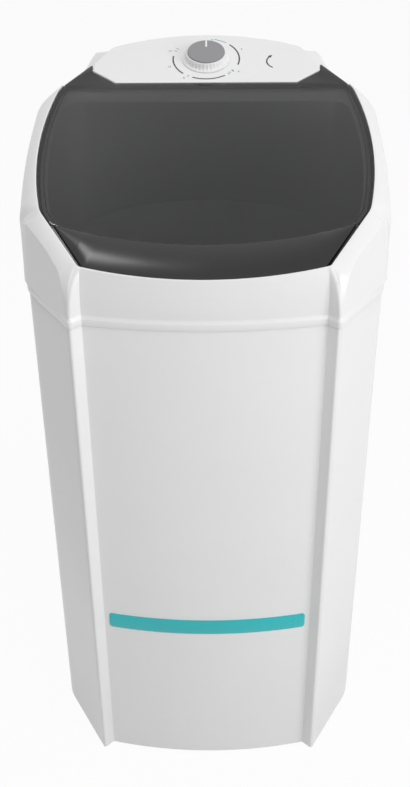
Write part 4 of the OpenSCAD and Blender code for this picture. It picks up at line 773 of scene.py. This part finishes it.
def lip():
    """The convex dark visor from the glass to the front edge, with a shelf along its chamfers."""
    path = front_path(-LIP_SIDE_GAP)
    back = both_sides(lip_arc(path[-1], LIP_COUNT))
    edge = both_sides(spaced(path, LIP_COUNT))
    outer_edge = both_sides(spaced(front_path(0), LIP_COUNT))
    # Where the visor is narrow, at its two ends, it bulges and falls less
    depths = [min(1.0, (b - a).length / LIP_FULL_DEPTH) for a, b in zip(back, edge)]
    rows = []
    for j in range(LIP_STEPS + 1):
        t = j / LIP_STEPS
        row = []
        for a, b, depth in zip(back, edge, depths):
            q = a.lerp(b, t)
            rise = LIP_BULGE * depth * math.sin(math.pi * min(1, t * 0.92)) ** 0.9
            fall = LIP_FALL * depth * t ** 5
            row.append(Vector((q[0], q[1], top_z(q[1]) + rise - fall)))
        rows.append(row)
    for loop, drop in ((edge, 1.2), (edge, 4.2), (outer_edge, 4.4)):
        rows.append(on_slope(loop, [LIP_FALL * depth + drop for depth in depths]))
    rows.append(on_slope(outer_edge, LID_RIM))
    for t in (0.93, 0.0):
        rows.append(on_slope(mixed(back, edge, t), LID_T + 1.5))
    n, m = len(back), len(rows)
    faces = [(j * n + i, (j + 1) % m * n + i, (j + 1) % m * n + i + 1, j * n + i + 1)
             for j in range(m) for i in range(n - 1)]
    faces.append(tuple(j * n for j in range(m)))
    faces.append(tuple(j * n + n - 1 for j in reversed(range(m))))
    return [v for row in rows for v in row], faces


def lid_border():
    """Two thin dark lines moulded under the glass: its rim wall and an inner bead."""
    parts = []
    for out, inn in ((-2.0, -3.6), (-BORDER_W + 0.9, -BORDER_W)):
        outer, inner = [p for p in glass_outline(out) if p[1] > LIP_END[1] + 4], glass_outline(inn)
        k = min(len(outer), len(inner))
        strip = outer[-k:] + list(reversed(inner[-k:]))
        parts += [sloped(v, LID_T + 0.05, LID_T + 0.65) for v in (strip, mirror_x(strip))]
    return merge(*parts)


piece("lid_border", lid_border(), "lid", "dark_lip", smooth=30)
piece("lid_glass", glass(), "lid", "smoked_lid", ["lid_panel"])
piece("lid_rim_rear", lid_rim(), "lid", "dark_lip", smooth=30)
piece("lid_ears", ears(), "lid", "dark_lip", bevel=0.6)
piece("lid_visor", lip(), "lid", "dark_lip", ["lid_lip"], smooth=35)


# Control panel

PANEL_TAN = math.tan(math.radians(PANEL_TILT))
FACE_Z = top_z(FACE_Y)


def panel_z(y):
    return FACE_Z + PANEL_TAN * (y - FACE_Y)


def panel_edge(d):
    """Outline of the control panel, d inside its edge."""
    first = N_SIDE + N_CORNER + N_FLAT
    b = top_rear(-d)[first:]
    corner, root = Vector((PANEL_FRONT_HALF, FACE_Y)), Vector((PANEL_END, PANEL_ROOT_Y))
    tip = Vector((PANEL_END, PANEL_TIP_Y))
    a1, a2 = angle_of(root - corner), angle_of(top_rear(0)[first] - tip)
    side1, side2 = root - d * outward(a1), tip - d * outward(a2)
    start = meet((0, FACE_Y + d), 0, side1, a1)
    low = meet(side1, a1, (PANEL_END - d, 0), 90)
    high = meet(side2, a2, (PANEL_END - d, 0), 90)
    return ([Vector((start[0] * i / 8, FACE_Y + d)) for i in range(9)]
            + between(start, low, 8) + [low] + between(low, high, 5) + [high]
            + between(high, b[0], 6) + b)


def crease_x(y):
    """The line where the panel's main face ends and its end facet starts to fall away."""
    t = (y - FACE_Y) / (CREASE_TOP[1] - FACE_Y)
    return PANEL_FRONT_HALF + (CREASE_TOP[0] - PANEL_FRONT_HALF) * t


def facet_z(p):
    over = abs(p[0]) - crease_x(p[1])
    return panel_z(p[1]) - FACET_FALL * max(0.0, over) / (PANEL_END - crease_x(PANEL_ROOT_Y))


def fascia():
    """The panel from the platform up, with a rounded edge and a falling facet at each end."""
    rings = [on_slope(whole(panel_edge(0)), PLATFORM_DROP)]
    for d, drop in ((0.0, 1.6), (0.25, 0.8), (0.8, 0.2), (1.7, 0.0), (3.0, 0.0)):
        rings.append([Vector((p[0], p[1], facet_z(p) - drop)) for p in whole(panel_edge(d))])
    inner = []
    for p in whole(panel_edge(4.0)):
        x = min(abs(p[0]), crease_x(p[1]) - 0.4)
        inner.append(Vector((math.copysign(x, p[0]), p[1], panel_z(p[1]))))
    rings.append(inner)
    verts, faces = ring_skin(rings, close=False)
    n, k = len(inner), len(verts)
    verts.append(Vector((0, DIAL_Y, panel_z(DIAL_Y))))
    faces += [(k - n + i, k - n + (i + 1) % n, k) for i in range(n)]
    faces.append(tuple(reversed(range(n))))
    return verts, faces


piece("fascia_skin", fascia(), "cabinet", "white_top", ["control_panel"], smooth=12)


# Dial

DIAL = (Matrix.Translation((0, DIAL_Y, panel_z(DIAL_Y)))
        @ Matrix.Rotation(math.radians(PANEL_TILT), 4, "X"))


def on_dial(part):
    """Moves a part from the dial's own frame to its place on the panel."""
    verts, faces = part
    return [DIAL @ Vector(v) for v in verts], faces


def knob():
    """A turned body with a skirt, whose side carries KNOB_RIBS grip ribs."""
    n = KNOB_RIBS * 8
    rim = KNOB_H - 2.1
    profile = [(KNOB_FOOT_R - 1.5, 0.6), (KNOB_FOOT_R, 0.7), (KNOB_FOOT_R, 1.3),
               (KNOB_FOOT_R - 0.5, 1.7), (KNOB_FOOT_R - 2.2, 2.1), (KNOB_TOP_R + 2.8, 3.2),
               (KNOB_TOP_R + 2.0, 4.8), (KNOB_TOP_R + 1.4, 7.0), (KNOB_TOP_R + 0.9, rim - 2.6),
               (KNOB_TOP_R + 0.6, rim - 0.9), (KNOB_TOP_R, rim - 0.1), (KNOB_CAP_R + 0.5, rim),
               (KNOB_CAP_R + 0.15, rim - 0.4), (KNOB_CAP_R + 0.15, rim - 1.5), (0.1, rim - 1.5)]
    verts, faces = lathe(profile, n)
    for i, v in enumerate(verts):
        row = i // n
        if RIB_FROM <= row <= RIB_TO:
            wave = 0.5 - 0.5 * around((i % n) / n * KNOB_RIBS, 1)[0]
            grow = RIB_OUT * wave ** 3 * (1.0 if row < RIB_TO else 0.4)
            r = math.hypot(v[0], v[1])
            verts[i] = Vector((v[0] * (r + grow) / r, v[1] * (r + grow) / r, v[2]))
    return verts, faces


CAP_PROFILE = [(KNOB_CAP_R, KNOB_H - 3.4), (KNOB_CAP_R, KNOB_H - 0.9),
               (KNOB_CAP_R - 0.25, KNOB_H - 0.4), (KNOB_CAP_R - 0.8, KNOB_H - 0.08),
               (KNOB_CAP_R - 1.6, KNOB_H), (0.05, KNOB_H)]
POINTER = [(-1.3, 11), (1.3, 11), (1.3, 27), (0, 28), (-1.3, 27)]
piece("knob_skin", on_dial(knob()), "knob", "knob_white", ["knob_body"], smooth=35)
piece("cap_skin", on_dial(lathe(CAP_PROFILE, 128)), "knob", "knob_grey", ["knob_cap"], smooth=35)
piece("pointer_skin", on_dial(upright(POINTER, KNOB_H - 0.05, KNOB_H + 0.15)), "knob", "knob_mark",
      ["knob_pointer"])


# Generic scale printed round the dial: arcs, ticks, plain figures and a turning arrow

INK = surface("print_ink", (0.03, 0.03, 0.032), rough=0.4, vary=0.1)
INK_TEAL = surface("print_teal", (0.02, 0.33, 0.38), rough=0.4, vary=0.06)


def printed(loop):
    return upright(loop, PRINT_Z, PRINT_Z + PRINT_T)


def arc(r0, r1, a0, a1):
    n = max(4, int(abs(a1 - a0) / 2))
    return printed([r1 * vec(a0 + (a1 - a0) * i / n) for i in range(n + 1)]
                   + [r0 * vec(a1 - (a1 - a0) * i / n) for i in range(n + 1)])


def tick(r0, r1, a, w):
    out, side = vec(a), w / 2 * outward(a)
    return printed([r0 * out + side, r1 * out + side, r1 * out - side, r0 * out - side])


ARCS = [(-18, 45), (172, 227), (246, 304)]
TICKS = (150, 157, 238, 312, 322)
TEAL_ARC, TEAL_TICKS = (53, 76), (-36, -44, 80)
SETTINGS = [("3", 24), ("6", -34), ("9", 236), ("12", 200), ("15", 160)]
NUMERAL_H, NUMERAL_OUT, NUMERAL_Z = 6.0, (8, 7), 0.08
TURN_SIGN = (113, -8, 18, 140, 240, 2.2)
ARROW_HALF, ARROW_L = 3.2, 7.5


def numeral(text, a):
    """A plain figure of the built-in font, centred outside the dial's ring at angle a."""
    curve = bpy.data.curves.new("numeral", "FONT")
    curve.body = text
    curve.size = NUMERAL_H
    curve.align_x, curve.align_y = "CENTER", "CENTER"
    ob = bpy.data.objects.new("numeral", curve)
    mesh = bpy.data.meshes.new_from_object(ob)
    x, y = ((RING_R + out) * c for out, c in zip(NUMERAL_OUT, vec(a)))
    verts = [Vector((v.co[0] + x, v.co[1] + y, NUMERAL_Z)) for v in mesh.vertices]
    faces = [tuple(f.vertices) for f in mesh.polygons]
    bpy.data.objects.remove(ob)
    bpy.data.curves.remove(curve)
    bpy.data.meshes.remove(mesh)
    return verts, faces


def turn_arrow(x, y, r, a0, a1, w):
    """A curved arrow that shows which way the knob turns."""
    c = vec(a0)
    head = printed([c * (r - ARROW_HALF), c * (r + ARROW_HALF), c * r + outward(a0) * ARROW_L])
    verts, faces = merge(arc(r - w / 2, r + w / 2, a0, a1), head)
    return [v + Vector((x, y, 0)) for v in verts], faces


black = [arc(RING_R - RING_W, RING_R, a, b) for a, b in ARCS]
black += [tick(RING_R - RING_W - 1, RING_R + 1.5, a, 0.9) for a in TICKS]
black += [numeral(text, a) for text, a in SETTINGS]
black.append(turn_arrow(*TURN_SIGN))
piece("dial_scale", on_dial(merge(*black)), "cabinet", "black_plastic", material=INK)
teal = [arc(RING_R - 1.2, RING_R, *TEAL_ARC)]
teal += [tick(RING_R - 4, RING_R, a, 1.4) for a in TEAL_TICKS]
piece("dial_marks", on_dial(merge(*teal)), "cabinet", "teal_stripe", material=INK_TEAL)


# Camera, light, floor: in metres and degrees, the focal length in the photograph's pixels

FOCAL_PX, FRAME_H_PX, SENSOR = 970.0, 787.0, 36.0
EYE_BACK, EYE_UP, EYE_SIDE, EYE_PITCH = 1.3836, 1.3515, -0.0035, 60.0
EYE_TURN, EYE_ROLL = 0.8, -0.48
SHADE_LIGHT, FLOOR_GREY, FLOOR_GLOW, FLOOR_HALF = 0.42, 0.8, 0.94, 30

scene = bpy.context.scene
camera = bpy.data.cameras.new("camera")
camera.sensor_width = SENSOR
camera.lens = FOCAL_PX / FRAME_H_PX * SENSOR
eye = bpy.data.objects.new("camera", camera)
turn = math.radians(EYE_TURN)
eye.location = (EYE_BACK * math.sin(turn) + EYE_SIDE, -EYE_BACK * math.cos(turn), EYE_UP)
aim = Euler((math.radians(EYE_PITCH), 0.0, turn)).to_matrix()
eye.rotation_euler = (aim @ Matrix.Rotation(math.radians(EYE_ROLL), 3, "Z")).to_euler()
scene.collection.objects.link(eye)
scene.camera = eye


def lamp(name, place, target, size, power):
    data = bpy.data.lights.new(name, "AREA")
    data.shape = "RECTANGLE"
    data.size, data.size_y = size
    data.energy = power
    ob = bpy.data.objects.new(name, data)
    ob.location = place
    ob.rotation_euler = (Vector(target) - Vector(place)).to_track_quat("-Z", "Y").to_euler()
    scene.collection.objects.link(ob)


lamp("key", (2.5, -1.9, 1.6), (0, 0, 0.5), (1.8, 1.8), 47)
lamp("fill", (-2.6, -2.2, 1.8), (0, 0, 0.5), (2.0, 2.0), 3)
lamp("over", (0.3, -1.3, 3.3), (0, 0, 0.8), (2.2, 1.2), 21)
lamp("edge", (-0.66, 0.5, 3.2), (-0.14, -0.22, 0.88), (0.55, 0.45), 8)


def shader(tree, kind, strength=None, color=(1, 1, 1, 1)):
    node = tree.nodes.new(kind)
    node.inputs["Color"].default_value = color
    if strength is not None:
        node.inputs["Strength"].default_value = strength
    return node.outputs[0]


def math_node(tree, operation, a, b):
    node = tree.nodes.new("ShaderNodeMath")
    node.operation = operation
    tree.links.new(a, node.inputs[0])
    if isinstance(b, float):
        node.inputs[1].default_value = b
    else:
        tree.links.new(b, node.inputs[1])
    return node.outputs[0]


def background(tree, output, lit, white, part=1.0):
    """Shows part white to camera, glossy and transmission rays, and lit to all others."""
    rays = tree.nodes.new("ShaderNodeLightPath").outputs
    seen = math_node(tree, "MAXIMUM", rays["Is Camera Ray"], rays["Is Transmission Ray"])
    seen = math_node(tree, "MAXIMUM", seen, rays["Is Glossy Ray"])
    seen = math_node(tree, "MULTIPLY", seen, part)
    mix = tree.nodes.new("ShaderNodeMixShader")
    for source, socket in zip((seen, lit, white), mix.inputs):
        tree.links.new(source, socket)
    tree.links.new(mix.outputs[0], tree.nodes.new(output).inputs["Surface"])


world = bpy.data.worlds.new("studio")
world.use_nodes = True
scene.world = world
tree = world.node_tree
tree.nodes.clear()
background(tree, "ShaderNodeOutputWorld", shader(tree, "ShaderNodeBackground", SHADE_LIGHT),
           shader(tree, "ShaderNodeBackground", 1.0))

floor_mat = bpy.data.materials.new("studio_floor")
floor_mat.use_nodes = True
tree = floor_mat.node_tree
tree.nodes.clear()
background(tree, "ShaderNodeOutputMaterial",
           shader(tree, "ShaderNodeBsdfDiffuse", color=(FLOOR_GREY, FLOOR_GREY, FLOOR_GREY, 1)),
           shader(tree, "ShaderNodeEmission", 1.0), FLOOR_GLOW)

mesh = bpy.data.meshes.new("floor")
mesh.from_pydata([(x * FLOOR_HALF, y * FLOOR_HALF, 0)
                  for x, y in ((-1, -1), (1, -1), (1, 1), (-1, 1))], [], [(0, 1, 2, 3)])
mesh.materials.append(floor_mat)
floor = bpy.data.objects.new("floor", mesh)
scene.collection.objects.link(floor)

scene.view_settings.view_transform = "Standard"
